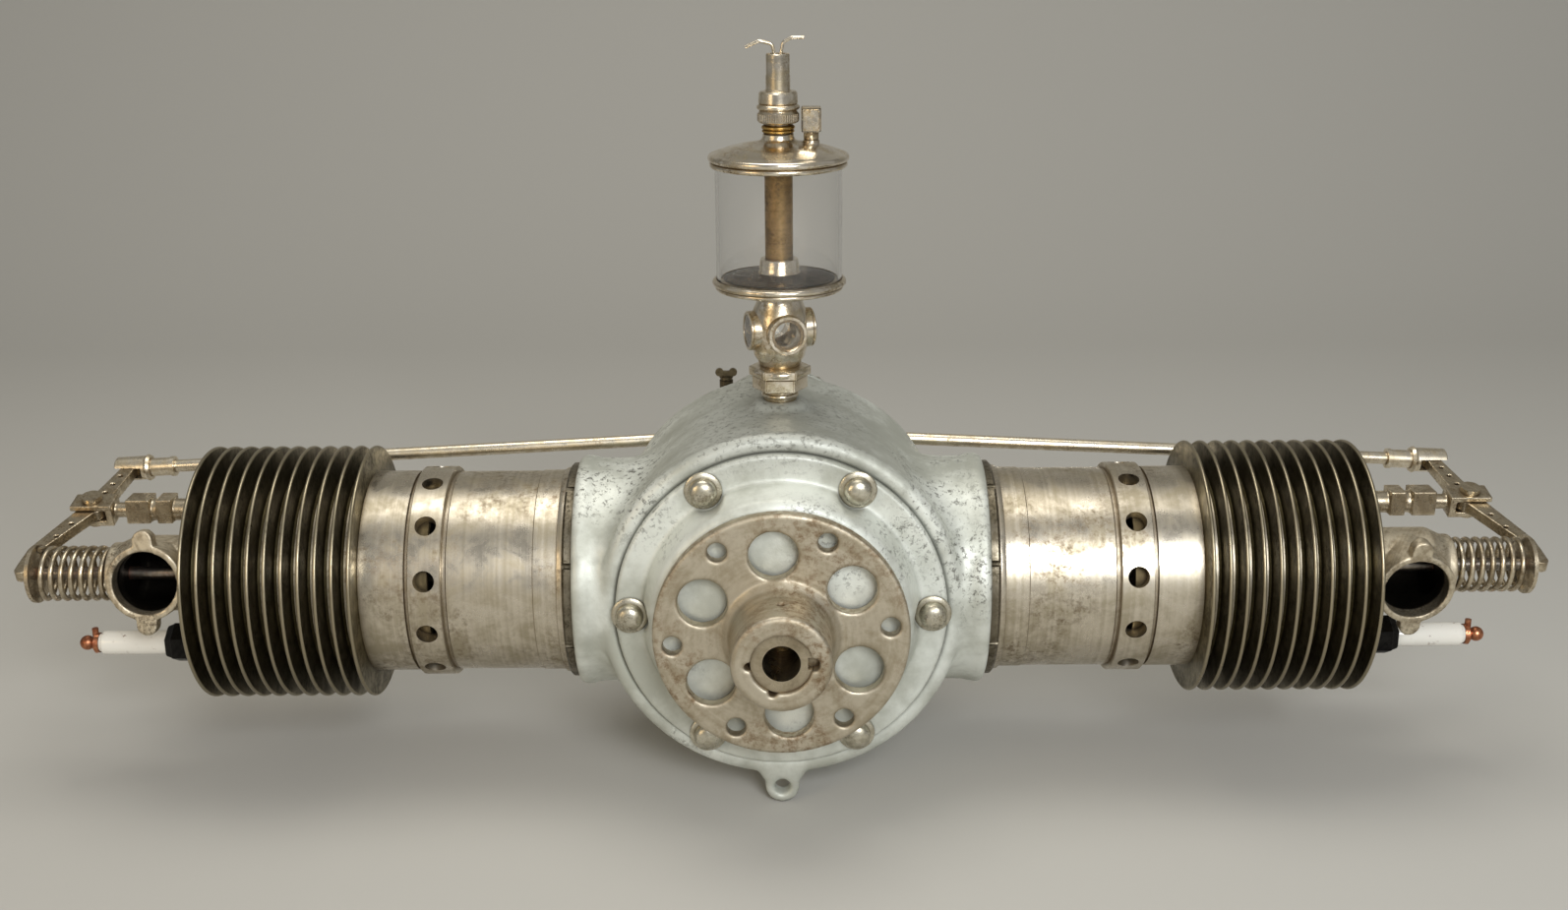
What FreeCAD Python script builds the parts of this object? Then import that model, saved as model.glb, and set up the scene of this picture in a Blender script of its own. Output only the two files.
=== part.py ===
"""Air-cooled flat twin aircraft engine with a sight-feed oiler, as separate pieces.

Frame: the origin is where the crankshaft axis crosses the cylinder axis.  +X runs along the
right cylinder, -Y points to the propeller and +Z is up.  All sizes are in millimetres.
"""
import FreeCAD
import Part
import Mesh
import math
import os

V = FreeCAD.Vector
X, Y, Z = V(1, 0, 0), V(0, 1, 0), V(0, 0, 1)
ORIGIN = V(0, 0, 0)

# ---- fits -------------------------------------------------------------------------------
RUN = 0.05            # radial clearance of a shaft turning or sliding in its bush
GAP = 0.3             # clearance between faces of pieces that move past one another

# ---- cylinder and piston ----------------------------------------------------------------
BORE = 127.0
STROKE = 127.0
BARREL_R = 70.0
SPIGOT_START = 113.0      # inner end of the barrel, inside the crankcase
CASE_FACE = 140.0         # where the barrel leaves the crankcase
LOCK_RING_W = 6.0
LOCK_RING_R = 75.0
FIN_R = 88.0
FIN_COUNT = 11
FIN_PITCH = 11.1
FIN_T = 3.2
FIN_FIRST = 283.0         # inner face of the fin next to the barrel
HEAD_FACE = FIN_FIRST + (FIN_COUNT - 1) * FIN_PITCH + FIN_T + 1.5
HEAD_T = 12.0
PORT_BAND_X = 238.0       # centre of the band of auxiliary exhaust holes
PORT_BAND_W = 22.0
PORT_BAND_H = 3.0
PORT_COUNT = 12
PORT_R = 7.2
PISTON_TOP = PORT_BAND_X - PORT_R - 2.0 + STROKE
PISTON_LEN = 118.0
PISTON_GAP = 0.2
PISTON_WALL = 5.0
CROWN_T = 9.0
PIN_TO_TOP = 55.0
WRIST_R = 14.0
RING_COUNT = 3
RING_W = 5.0
RING_DEPTH = 4.5
RING_PITCH = 10.0

# ---- crankshaft -------------------------------------------------------------------------
THROW = STROKE / 2
CRANKPIN_R = 22.0
CRANKPIN_L = 32.0
MID_WEB = 12.0
END_WEB = 14.0
WEB_R = 27.0
MAIN_R = 22.0
NOSE_R = 19.4
NOSE_BORE_R = 12.0
ROD_Y = (CRANKPIN_L + MID_WEB) / 2
CRANK_IN = CRANKPIN_L + MID_WEB / 2 + END_WEB     # outer face of the end webs
BIG_END_H = 33.0          # half height and half length of the big end brasses
BUSH_WALL = 4.0

# ---- crankcase --------------------------------------------------------------------------
CASE_R = 120.0
CASE_WALL = 7.0
CASE_FRONT = -79.0
CASE_REAR = 88.0
RIM_R = 122.0
RIM_W = 9.0
STUB_R = 80.5
STUB_NECK_R = 78.5
LUG_Z = -131.0
LUG_R = 12.0
LUG_HOLE_R = 5.5
LUG_T = 14.0
BOSS_TOP = 124.0          # face that the oiler screws down to

# ---- front cover and its bolts ----------------------------------------------------------
COVER_R = 110.0
COVER_FRONT = -84.0
COVER_STEP_R = 92.0
COVER_CONE_R = 86.0
COVER_NOSE = -111.0
COVER_BOLT_PCR = 100.0
COVER_BOLT_ANGLES = [0, 60, 120, 180, 240, 300]
BOLT_HEAD_R = 9.0
WASHER_R = 12.5
BOLT_R = 4.0

# ---- propeller hub ----------------------------------------------------------------------
HUB_R = 83.0
HUB_FACE = -122.0
HUB_T = 9.0
HUB_BOSS_R = 32.0
HUB_BOSS_FACE = -166.0
HUB_TURN = 5.0           # turn of the hole pattern seen from the propeller
LIGHT_HOLE_R = 16.0
LIGHT_HOLE_PCR = 55.5
PROP_HOLE_R = 6.35
PROP_HOLE_PCR = 70.5
KEY_W = 8.0
KEY_H = 4.3

# ---- timing gear ------------------------------------------------------------------------
MODULE = 2.0
CRANK_TEETH = 21
CAM_TEETH = 2 * CRANK_TEETH
CAM_Z = MODULE * (CRANK_TEETH + CAM_TEETH) / 2
GEAR_Y0 = 90.0
GEAR_W = 7.0
BACKLASH = 0.35           # gap left between the flanks of meshing teeth
CAM_Y = 106.0
CAM_W = 10.0
CAM_SHAFT_R = 9.0
CAM_BASE_R = 14.0
CAM_LIFT = 6.4
CHEST_WALL = 4.0
CHEST_R = MODULE * (CAM_TEETH + 2) / 2 + 2.0
CHEST_LOW_R = MODULE * (CRANK_TEETH + 2) / 2 + 2.0
CHEST_STEP = GEAR_Y0 + GEAR_W + 1.0
CHEST_BACK = CAM_Y + CAM_W / 2 + 2.0
CAM_ROOM_R = CAM_BASE_R + CAM_LIFT + 3.0
CHEST_FLANGE = 8.0
CHEST_SCREW_R = 2.0
CHEST_HEAD_R = 3.4

# ---- valve gear -------------------------------------------------------------------------
PUSH_SLOPE = 2.86         # degrees the pushrods fall towards the heads
PUSH_Z = 66.6             # height of the pushrod line above the crankshaft at X = 0
PUSH_LIFT = 6.4
TAPPET_R = 7.0
TAPPET_FACE_R = 7.9
TAPPET_START = CAM_BASE_R + CAM_LIFT + 0.4
TAPPET_END = 92.0
GUIDE_END = 84.0
PUSHROD_R = 4.6
EX_Y, EX_Z = -28.0, 10.0
IN_Y, IN_Z = 32.0, -10.0
CAGE_R = 27.0
PORT_BORE_R = 20.8
SOCKET_R = 21.5           # socket in the exhaust mouth for a stub pipe
SOCKET_L = 10.0
INLET_BORE_R = 14.0
INLET_SOCKET_R = 15.5
INLET_SOCKET_L = 12.0
INLET_REACH = 42.0
PORT_X = 427.0            # centre of the exhaust mouth
PORT_MOUTH = -62.0
PORT_TILT = {1: 9.0, -1: -9.0}   # degrees the mouth leans down on the right, up on the left
EAR_REACH = 36.0
EAR_W = 14.0
SPRING_SEAT = 459.0
SPRING_END = 511.0
SPRING_R = 17.2
SPRING_WIRE = 2.0
SPRING_TURNS = 7.0
COIL_STEPS = 18           # facets per turn of a spring
COIL_SIDES = 8            # sides of its wire
STEM_R = 4.5
STEM_TIP = 517.5
VALVE_R = 24.0
PUSH_REACH = 491.0        # distance of the yoke pin along the pushrod line
ROCKER_X, ROCKER_Y = 500.0, 50.0
ROCKER_T = 8.0
ROCKER_PIN_R = 4.0
YOKE_R = 9.0
YOKE_PIN_R = 3.0

# ---- spark plugs ------------------------------------------------------------------------
PLUG_Y, PLUG_Z = -12.0, -49.0
PLUG_THREAD_R = 8.9

# ---- oiler ------------------------------------------------------------------------------
OIL_HEX_AF = 33.0
OIL_BASE_Z = 201.0
OIL_BASE_R = 44.8
GLASS_R = 42.0
GLASS_T = 2.5
GLASS_Z0 = 207.5
GLASS_Z1 = 284.0
LID_R = 46.7
LID_TOP = 294.0
TUBE_R = 9.3
NEEDLE_R = 1.6
FILLER_X = 21.5           # filler plug, right of the oiler axis
FILLER_R = 3.4
SIGHT_Z = 173.0
SIGHT_R = 11.0

# ---- breather cock ----------------------------------------------------------------------
COCK_X, COCK_Y = -40.0, 99.8
COCK_Z0 = 99.0


# =========================================================================================
# helpers
# =========================================================================================
def cyl(r, length, base, axis):
    """A solid cylinder from base, running length along axis."""
    return Part.makeCylinder(r, length, base, axis)


def span(r, a, b, y=0.0, z=0.0):
    """A cylinder along X from x = a to x = b at height z and depth y."""
    return cyl(r, b - a, V(a, y, z), X)


def disc_y(r, y0, y1, x=0.0, z=0.0):
    """A cylinder along Y from y0 to y1."""
    return cyl(r, y1 - y0, V(x, y0, z), Y)


def box(x0, x1, y0, y1, z0, z1):
    """A box between two corners."""
    return Part.makeBox(x1 - x0, y1 - y0, z1 - z0, V(x0, y0, z0))


def turned(profile, base, axis):
    """A revolved solid: profile is a closed list of (distance along axis, radius)."""
    side = V(0, 0, 1) if abs(axis.z) < 0.5 else X
    side = (side - axis * side.dot(axis)).normalize()
    points = [base + axis * a + side * r for a, r in profile]
    wire = Part.makePolygon(points + [points[0]])
    return Part.Face(wire).revolve(base, axis, 360)


def fuse(first, *others):
    """Join solids into one and drop the seams between coplanar faces."""
    return first.multiFuse(list(others)).removeSplitter()


def hexagon(across, length, base, axis):
    """A hexagonal prism across flats, starting at base and running along axis."""
    corner = across / math.sqrt(3)
    ref = X if abs(axis.x) < 0.5 else Y
    other = axis.cross(ref)
    turns = [math.radians(60 * k) for k in range(7)]
    points = [base + ref * (corner * math.cos(t)) + other * (corner * math.sin(t)) for t in turns]
    return Part.Face(Part.makePolygon(points)).extrude(axis * length)


def coil(mean_r, wire_r, length, turns, base, axis):
    """A compression spring standing on base along axis, as a closed shell of flat facets."""
    out = Y if abs(axis.y) < 0.5 else Z
    side = axis.cross(out)
    steps = int(COIL_STEPS * turns)
    rise = length - 2 * wire_r
    rings = []
    for k in range(steps + 1):
        turn = 2 * math.pi * k / COIL_STEPS
        radial = out * math.cos(turn) + side * math.sin(turn)
        centre = base + axis * (wire_r + rise * k / steps) + radial * mean_r
        angles = [2 * math.pi * s / COIL_SIDES for s in range(COIL_SIDES)]
        rings.append([centre + radial * (wire_r * math.cos(t)) + axis * (wire_r * math.sin(t)) for t in angles])
    facets = []
    for low, high in zip(rings, rings[1:]):
        for s in range(COIL_SIDES):
            n = (s + 1) % COIL_SIDES
            facets += [(low[s], high[s], high[n]), (low[s], high[n], low[n])]
    for ring, turn_round in ((rings[0], False), (rings[-1], True)):
        for s in range(1, COIL_SIDES - 1):
            facet = (ring[0], ring[s], ring[s + 1])
            facets.append(facet[::-1] if turn_round else facet)
    shell = Part.Shape()
    shell.makeShapeFromMesh(Mesh.Mesh([list(f) for f in facets]).Topology, 0.001)
    solid = Part.makeSolid(Part.Shell(shell.Faces))
    return solid if solid.Volume > 0 else solid.reversed()


def for_side(shape, side):
    """A piece drawn for the right cylinder, mirrored when it belongs to the left one."""
    return shape if side > 0 else shape.mirror(ORIGIN, X)


# =========================================================================================
# crankcase and covers
# =========================================================================================
def case_outside():
    """Drum with a bevelled front rim, two cylinder stubs, the lug and the oiler boss."""
    drum = turned([(CASE_FRONT, 0), (CASE_FRONT, RIM_R - 5), (CASE_FRONT + 4, RIM_R),
                   (CASE_FRONT + RIM_W, RIM_R), (CASE_FRONT + RIM_W + 3, CASE_R),
                   (CASE_REAR - 14, CASE_R), (CASE_REAR - 4, CASE_R - 4), (CASE_REAR, CASE_R - 14),
                   (CASE_REAR, 0)], ORIGIN, Y)
    stub = turned([(0, 0), (0, STUB_NECK_R + 4), (84, STUB_NECK_R + 4), (96, STUB_NECK_R + 1),
                   (106, STUB_NECK_R), (CASE_FACE - 12, STUB_NECK_R), (CASE_FACE - 10, STUB_R),
                   (CASE_FACE - 2, STUB_R), (CASE_FACE, STUB_R - 2), (CASE_FACE, 0)], ORIGIN, X)
    lug = fuse(disc_y(LUG_R, CASE_FRONT, CASE_FRONT + LUG_T, 0, LUG_Z),
               box(-LUG_R - 3, LUG_R + 3, CASE_FRONT, CASE_FRONT + LUG_T, LUG_Z + 6, -RIM_R + 12))
    boss = turned([(CASE_R - 20, 0), (CASE_R - 20, 24), (CASE_R - 2, 23), (BOSS_TOP - 2, 19),
                   (BOSS_TOP, 18), (BOSS_TOP, 0)], ORIGIN, Z)
    pad = chest_outline(CHEST_WALL + CHEST_FLANGE, CASE_REAR - 16, CASE_REAR)
    return fuse(drum, stub, stub.mirror(ORIGIN, X), lug, boss, pad)


def make_crankcase():
    """The one-piece drum, bored for cylinders, crankshaft, camshaft, oiler and lug bolt."""
    room = fuse(disc_y(CASE_R - CASE_WALL, CASE_FRONT + 12, CASE_REAR - 8),
                disc_y(COVER_R - 9, CASE_FRONT - 1, CASE_FRONT + 13))
    recess = disc_y(COVER_R + GAP, CASE_FRONT - 10, CASE_FRONT + 5)
    bore = span(BARREL_R, -CASE_FACE - 1, CASE_FACE + 1)
    main_boss = disc_y(MAIN_R + BUSH_WALL + 10, CRANK_IN + 2, CASE_REAR)
    cam_boss = disc_y(CAM_SHAFT_R + BUSH_WALL + 6, 66, CASE_REAR, 0, CAM_Z)
    case = case_outside().cut(room.multiFuse([recess, bore]))
    case = fuse(case, main_boss, cam_boss)
    holes = [disc_y(MAIN_R + BUSH_WALL, CRANK_IN, CASE_REAR + 1),
             disc_y(CAM_SHAFT_R + BUSH_WALL, 65, CASE_REAR + 1, 0, CAM_Z),
             disc_y(LUG_HOLE_R, CASE_FRONT - 1, CASE_FRONT + LUG_T + 1, 0, LUG_Z),
             cyl(6, BOSS_TOP, V(0, 0, CASE_R - 30), Z)]
    holes += [disc_y(BOLT_R, CASE_FRONT, CASE_FRONT + 12, x, z) for x, z in cover_bolt_places()]
    holes += [disc_y(CHEST_SCREW_R, CASE_REAR - 7, CASE_REAR + 1, x, z) for x, z in chest_screw_places()]
    return case.cut(holes[0].multiFuse(holes[1:]))


def cover_bolt_places():
    """Centres of the six front cover bolts, as (x, z)."""
    turns = [math.radians(a) for a in COVER_BOLT_ANGLES]
    return [(COVER_BOLT_PCR * math.cos(t), COVER_BOLT_PCR * math.sin(t)) for t in turns]


def make_front_cover():
    """Dished front cover with the long front main bearing housing."""
    inner = MAIN_R + BUSH_WALL
    profile = [(-CRANK_IN - 2, inner), (-CRANK_IN - 2, inner + 8), (COVER_FRONT + 12, inner + 10),
               (COVER_FRONT + 12, COVER_R - 12), (CASE_FRONT + 5, COVER_R - 12), (CASE_FRONT + 5, COVER_R),
               (COVER_FRONT + 1, COVER_R), (COVER_FRONT, COVER_R - 1), (COVER_FRONT, COVER_STEP_R),
               (COVER_FRONT - 5, COVER_STEP_R - 1), (COVER_FRONT - 20, COVER_CONE_R),
               (COVER_FRONT - 23, COVER_CONE_R - 4), (COVER_NOSE, 48), (COVER_NOSE, inner)]
    cover = turned(profile, ORIGIN, Y)
    relief = turned([(CASE_FRONT + 12, 40), (CASE_FRONT + 12, COVER_R - 20), (COVER_FRONT - 10, COVER_R - 30),
                     (COVER_FRONT - 17, 42), (COVER_FRONT - 10, 38)], ORIGIN, Y)
    cover = cover.cut(relief)
    holes = [disc_y(BOLT_R + 0.2, COVER_FRONT - 8, CASE_FRONT + 8, x, z) for x, z in cover_bolt_places()]
    seats = [disc_y(WASHER_R + 1, COVER_FRONT - 20, COVER_FRONT, x, z) for x, z in cover_bolt_places()]
    return cover.cut(holes[0].multiFuse(holes[1:] + seats))


def make_cover_bolts():
    """Six dome-headed bolts, each with its washer."""
    pieces = []
    for x, z in cover_bolt_places():
        head = turned([(COVER_FRONT, 0), (COVER_FRONT, WASHER_R), (COVER_FRONT - 2.5, WASHER_R),
                       (COVER_FRONT - 2.5, BOLT_HEAD_R), (COVER_FRONT - 7, BOLT_HEAD_R),
                       (COVER_FRONT - 9.5, BOLT_HEAD_R - 3), (COVER_FRONT - 10.5, 0)], V(x, 0, z), Y)
        shank = disc_y(BOLT_R, COVER_FRONT - 1, CASE_FRONT + 11.5, x, z)
        pieces.append(fuse(head, shank))
    return Part.makeCompound(pieces)


def chest_outline(extra, y0, y1):
    """The pear-shaped plan of the timing chest, grown by extra, between two depths."""
    top_r, low_r = CHEST_R + extra, CHEST_LOW_R + extra
    lean = math.asin((top_r - low_r) / CAM_Z)
    c, s = math.cos(lean), math.sin(lean)
    top, low = V(0, y0, CAM_Z), V(0, y0, 0)
    right_top, right_low = top + V(c, 0, -s) * top_r, low + V(c, 0, -s) * low_r
    left_top, left_low = top + V(-c, 0, -s) * top_r, low + V(-c, 0, -s) * low_r
    over = Part.Arc(right_top, top + Z * top_r, left_top).toShape()
    under = Part.Arc(left_low, low - Z * low_r, right_low).toShape()
    wire = Part.Wire([over, Part.makeLine(left_top, left_low), under, Part.makeLine(right_low, right_top)])
    return Part.Face(wire).extrude(V(0, y1 - y0, 0))


def chest_screw_places():
    """Centres of the timing chest screws, as (x, z), spaced round its flange."""
    high = CHEST_R + CHEST_WALL + CHEST_FLANGE / 2
    low = CHEST_LOW_R + CHEST_WALL + CHEST_FLANGE / 2
    places = [(high * math.cos(math.radians(a)), CAM_Z + high * math.sin(math.radians(a)))
              for a in (20, 60, 100, 165)]
    return places + [(low * math.cos(math.radians(a)), low * math.sin(math.radians(a)))
                     for a in (-10, -65, -115, -170)]


def push_axis():
    """Direction of the right pushrod, outwards and slightly down."""
    slope = math.radians(PUSH_SLOPE)
    return V(math.cos(slope), 0, -math.sin(slope))


def push_point(distance):
    """A point on the right pushrod line, at a distance from X = 0."""
    return V(0, CAM_Y, PUSH_Z) + push_axis() * distance


def make_timing_cover():
    """Rear cover over the timing gears and cam, with the two tappet guides."""
    back = CHEST_BACK + CHEST_WALL
    shell = fuse(chest_outline(CHEST_WALL, CASE_REAR, CHEST_STEP + CHEST_WALL),
                 chest_outline(CHEST_WALL + CHEST_FLANGE, CASE_REAR, CASE_REAR + 5),
                 disc_y(CAM_ROOM_R + CHEST_WALL, CASE_REAR + 2, back, 0, CAM_Z),
                 disc_y(CAM_SHAFT_R + BUSH_WALL + 5, back - 2, back + 12, 0, CAM_Z))
    guides = [for_side(cyl(TAPPET_R + 6, GUIDE_END - 8, push_point(8), push_axis()), s) for s in (1, -1)]
    shell = fuse(shell, *guides)
    spigot = cyl(6, COCK_Z0 - CAM_Z - 8, V(COCK_X, COCK_Y, CAM_Z + 8), Z)
    shell = fuse(shell, spigot)
    room = [chest_outline(0, CASE_REAR - 1, CHEST_STEP),
            disc_y(CAM_ROOM_R, CASE_REAR, CHEST_BACK, 0, CAM_Z),
            disc_y(CAM_SHAFT_R + BUSH_WALL, CHEST_BACK - 1, back + 9, 0, CAM_Z),
            cyl(2.5, COCK_Z0, V(COCK_X, COCK_Y, CAM_Z), Z)]
    room += [for_side(cyl(TAPPET_R + RUN, GUIDE_END + 2, push_point(0), push_axis()), s) for s in (1, -1)]
    room += [for_side(cyl(TAPPET_FACE_R + GAP, TAPPET_START + PUSH_LIFT + 7, push_point(0), push_axis()), s)
             for s in (1, -1)]
    room += [disc_y(CHEST_SCREW_R + 0.2, CASE_REAR - 1, CASE_REAR + 6, x, z) for x, z in chest_screw_places()]
    return shell.cut(room[0].multiFuse(room[1:]))


def make_timing_screws():
    """Cheese-headed screws round the timing cover."""
    pieces = []
    for x, z in chest_screw_places():
        head = disc_y(CHEST_HEAD_R, CASE_REAR + 5, CASE_REAR + 8.5, x, z)
        pieces.append(fuse(head, disc_y(CHEST_SCREW_R, CASE_REAR - 6.5, CASE_REAR + 6, x, z)))
    return Part.makeCompound(pieces)


def sleeve_y(inner, wall, y0, y1, z=0.0):
    """A plain bush along Y."""
    return disc_y(inner + wall, y0, y1, 0, z).cut(disc_y(inner, y0 - 1, y1 + 1, 0, z))


def make_bearing_bushes():
    """Bronze bushes of the crankshaft and the camshaft."""
    return Part.makeCompound([
        sleeve_y(MAIN_R + RUN, BUSH_WALL - RUN, COVER_NOSE, -CRANK_IN - 1),
        sleeve_y(MAIN_R + RUN, BUSH_WALL - RUN, CRANK_IN + 1, CASE_REAR),
        sleeve_y(CAM_SHAFT_R + RUN, BUSH_WALL - RUN, 66, CASE_REAR, CAM_Z),
        sleeve_y(CAM_SHAFT_R + RUN, BUSH_WALL - RUN, CHEST_BACK, CHEST_BACK + CHEST_WALL + 8, CAM_Z)])


# =========================================================================================
# cylinders and pistons
# =========================================================================================
def cylinder_profile():
    """Half section of barrel, port band, fins and head, as (x, radius)."""
    root = BARREL_R - 1
    band0, band1 = PORT_BAND_X - PORT_BAND_W / 2, PORT_BAND_X + PORT_BAND_W / 2
    points = [(SPIGOT_START, 0), (SPIGOT_START, BARREL_R - 1.5), (SPIGOT_START + 1.5, BARREL_R),
              (CASE_FACE + LOCK_RING_W, BARREL_R),
              (CASE_FACE + LOCK_RING_W, BARREL_R + 2), (CASE_FACE + LOCK_RING_W + 4, BARREL_R + 1.5),
              (CASE_FACE + LOCK_RING_W + 4, BARREL_R), (CASE_FACE + 26, BARREL_R),
              (CASE_FACE + 26, BARREL_R - 0.6), (band0 - 2.5, BARREL_R - 0.6),
              (band0 - 2.5, BARREL_R - 1.4), (band0, BARREL_R - 1.4), (band0, BARREL_R + PORT_BAND_H),
              (band1, BARREL_R + PORT_BAND_H), (band1, BARREL_R - 1.4), (band1 + 2.5, BARREL_R - 1.4),
              (band1 + 2.5, BARREL_R), (FIN_FIRST, BARREL_R)]
    for k in range(FIN_COUNT):
        x = FIN_FIRST + k * FIN_PITCH
        points += [(x, FIN_R), (x + FIN_T, FIN_R), (x + FIN_T + 0.6, root)]
        if k < FIN_COUNT - 1:
            points += [(x + FIN_PITCH - 0.6, root)]
    points += [(HEAD_FACE, root), (HEAD_FACE, 0)]
    return points


def make_cylinder():
    """Cast iron barrel and head in one, with turned fins and a band of exhaust holes."""
    body = turned(cylinder_profile(), ORIGIN, X)
    hollow = turned([(SPIGOT_START - 1, 0), (SPIGOT_START - 1, BORE / 2), (HEAD_FACE - HEAD_T - 8, BORE / 2),
                     (HEAD_FACE - HEAD_T, BORE / 2 - 6), (HEAD_FACE - HEAD_T, 0)], ORIGIN, X)
    cuts = [span(CAGE_R, HEAD_FACE - HEAD_T - 1, HEAD_FACE + 1, EX_Y, EX_Z),
            span(CAGE_R, HEAD_FACE - HEAD_T - 1, HEAD_FACE + 1, IN_Y, IN_Z),
            span(PLUG_THREAD_R, HEAD_FACE - HEAD_T - 1, HEAD_FACE + 1, PLUG_Y, PLUG_Z),
            span(6, HEAD_FACE - 8, HEAD_FACE + 1, rocker_centre().y, rocker_centre().z)]
    for k in range(PORT_COUNT):
        t = math.radians((k + 0.5) * 360 / PORT_COUNT)
        cuts.append(cyl(PORT_R, BARREL_R + 10, V(PORT_BAND_X, 0, 0), V(0, math.cos(t), math.sin(t))))
    return body.cut(hollow.multiFuse(cuts))


def make_lock_rings():
    """Threaded rings that lock each barrel in the crankcase."""
    ring = turned([(CASE_FACE, BARREL_R), (CASE_FACE, LOCK_RING_R), (CASE_FACE + LOCK_RING_W - 1.5, LOCK_RING_R),
                   (CASE_FACE + LOCK_RING_W, LOCK_RING_R - 1.5), (CASE_FACE + LOCK_RING_W, BARREL_R)], ORIGIN, X)
    notches = []
    for k in range(8):
        t = math.radians(k * 45 + 22.5)
        spot = V(CASE_FACE - 1, 0, 0) + V(0, math.cos(t), math.sin(t)) * LOCK_RING_R
        notches.append(cyl(2.2, LOCK_RING_W + 2, spot, X))
    ring = ring.cut(notches[0].multiFuse(notches[1:]))
    return Part.makeCompound([ring, ring.mirror(ORIGIN, X)])


def ring_places():
    """Distance of each piston ring's outer face from X = 0."""
    return [PISTON_TOP - 8 - k * RING_PITCH for k in range(RING_COUNT)]


def make_piston():
    """Trunk piston with ring grooves and wrist pin bosses."""
    r = BORE / 2 - PISTON_GAP
    bottom = PISTON_TOP - PISTON_LEN
    body = turned([(bottom, 0), (bottom, r), (PISTON_TOP - 1, r), (PISTON_TOP, r - 1), (PISTON_TOP, 0)], ORIGIN, X)
    room = turned([(bottom - 1, 0), (bottom - 1, r - PISTON_WALL), (PISTON_TOP - 38, r - PISTON_WALL),
                   (PISTON_TOP - 34, r - PISTON_WALL - 3), (PISTON_TOP - CROWN_T - 4, r - PISTON_WALL - 3),
                   (PISTON_TOP - CROWN_T, r - PISTON_WALL - 8), (PISTON_TOP - CROWN_T, 0)], ORIGIN, X)
    x = PISTON_TOP - PIN_TO_TOP
    body = body.cut(room)
    skin = turned([(bottom, 0), (bottom, r - 1), (PISTON_TOP, r - 1), (PISTON_TOP, 0)], ORIGIN, X)
    bosses = disc_y(WRIST_R + 6, -r, -ROD_Y - 15, x).fuse(disc_y(WRIST_R + 6, ROD_Y + 15, r, x))
    body = fuse(body, bosses.common(skin))
    cuts = [disc_y(WRIST_R, -r - 1, r + 1, x)]
    for place in ring_places():
        band = span(r + 1, place - RING_W, place)
        cuts.append(band.cut(span(r - RING_DEPTH, place - RING_W - 1, place + 1)))
    return body.cut(cuts[0].multiFuse(cuts[1:]))


def make_piston_rings():
    """Split rings of both pistons."""
    rings = []
    for place in ring_places():
        ring = span(BORE / 2 - 0.02, place - RING_W + 0.1, place - 0.1)
        ring = ring.cut(span(BORE / 2 - PISTON_GAP - RING_DEPTH + 0.3, place - RING_W, place))
        split = box(place - RING_W, place, -0.4, 0.4, BORE / 2 - 10, BORE / 2 + 1)
        ring = ring.cut(split)
        rings += [ring, ring.mirror(ORIGIN, X)]
    return Part.makeCompound(rings)


def make_wrist_pins():
    """Hollow wrist pins of both pistons."""
    x = PISTON_TOP - PIN_TO_TOP
    half = BORE / 2 - PISTON_GAP - 3
    pin = disc_y(WRIST_R - 0.02, -half, half, x).cut(disc_y(WRIST_R - 5, -half - 1, half + 1, x))
    return Part.makeCompound([pin, pin.mirror(ORIGIN, X)])


def make_rod(y):
    """Connecting rod for one side, with an I section and a palm for the big end brasses."""
    x_pin = PISTON_TOP - PIN_TO_TOP
    palm = THROW + BIG_END_H + GAP
    width = CRANKPIN_L - 2
    eye = disc_y(WRIST_R + 8, y - width / 2, y + width / 2, x_pin)
    foot = box(palm, palm + 12, y - width / 2, y + width / 2, -BIG_END_H + 3, BIG_END_H - 3)
    shank = Part.makeLoft([Part.makePolygon([V(palm + 5, y - 10, -19), V(palm + 5, y + 10, -19),
                                             V(palm + 5, y + 10, 19), V(palm + 5, y - 10, 19),
                                             V(palm + 5, y - 10, -19)]),
                           Part.makePolygon([V(x_pin - 10, y - 9, -13), V(x_pin - 10, y + 9, -13),
                                             V(x_pin - 10, y + 9, 13), V(x_pin - 10, y - 9, 13),
                                             V(x_pin - 10, y - 9, -13)])], True)
    slot_a = box(palm + 22, x_pin - WRIST_R - 14, y + 3, y + 12, -8, 8)
    slot_b = box(palm + 22, x_pin - WRIST_R - 14, y - 12, y - 3, -8, 8)
    rod = fuse(eye, foot, shank)
    return rod.cut(slot_a.multiFuse([slot_b, disc_y(WRIST_R + RUN, y - width, y + width, x_pin)]))


# =========================================================================================
# crankshaft, hub and timing gears
# =========================================================================================
def web(y0, y1, ends):
    """A crank web that reaches from the shaft axis to the crankpins named by ends."""
    piece = disc_y(WEB_R + 3, y0, y1)
    for s in ends:
        reach = box(min(0, s * THROW), max(0, s * THROW), y0, y1, -WEB_R, WEB_R)
        piece = fuse(piece, reach, disc_y(WEB_R, y0, y1, s * THROW))
    return piece


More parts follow.
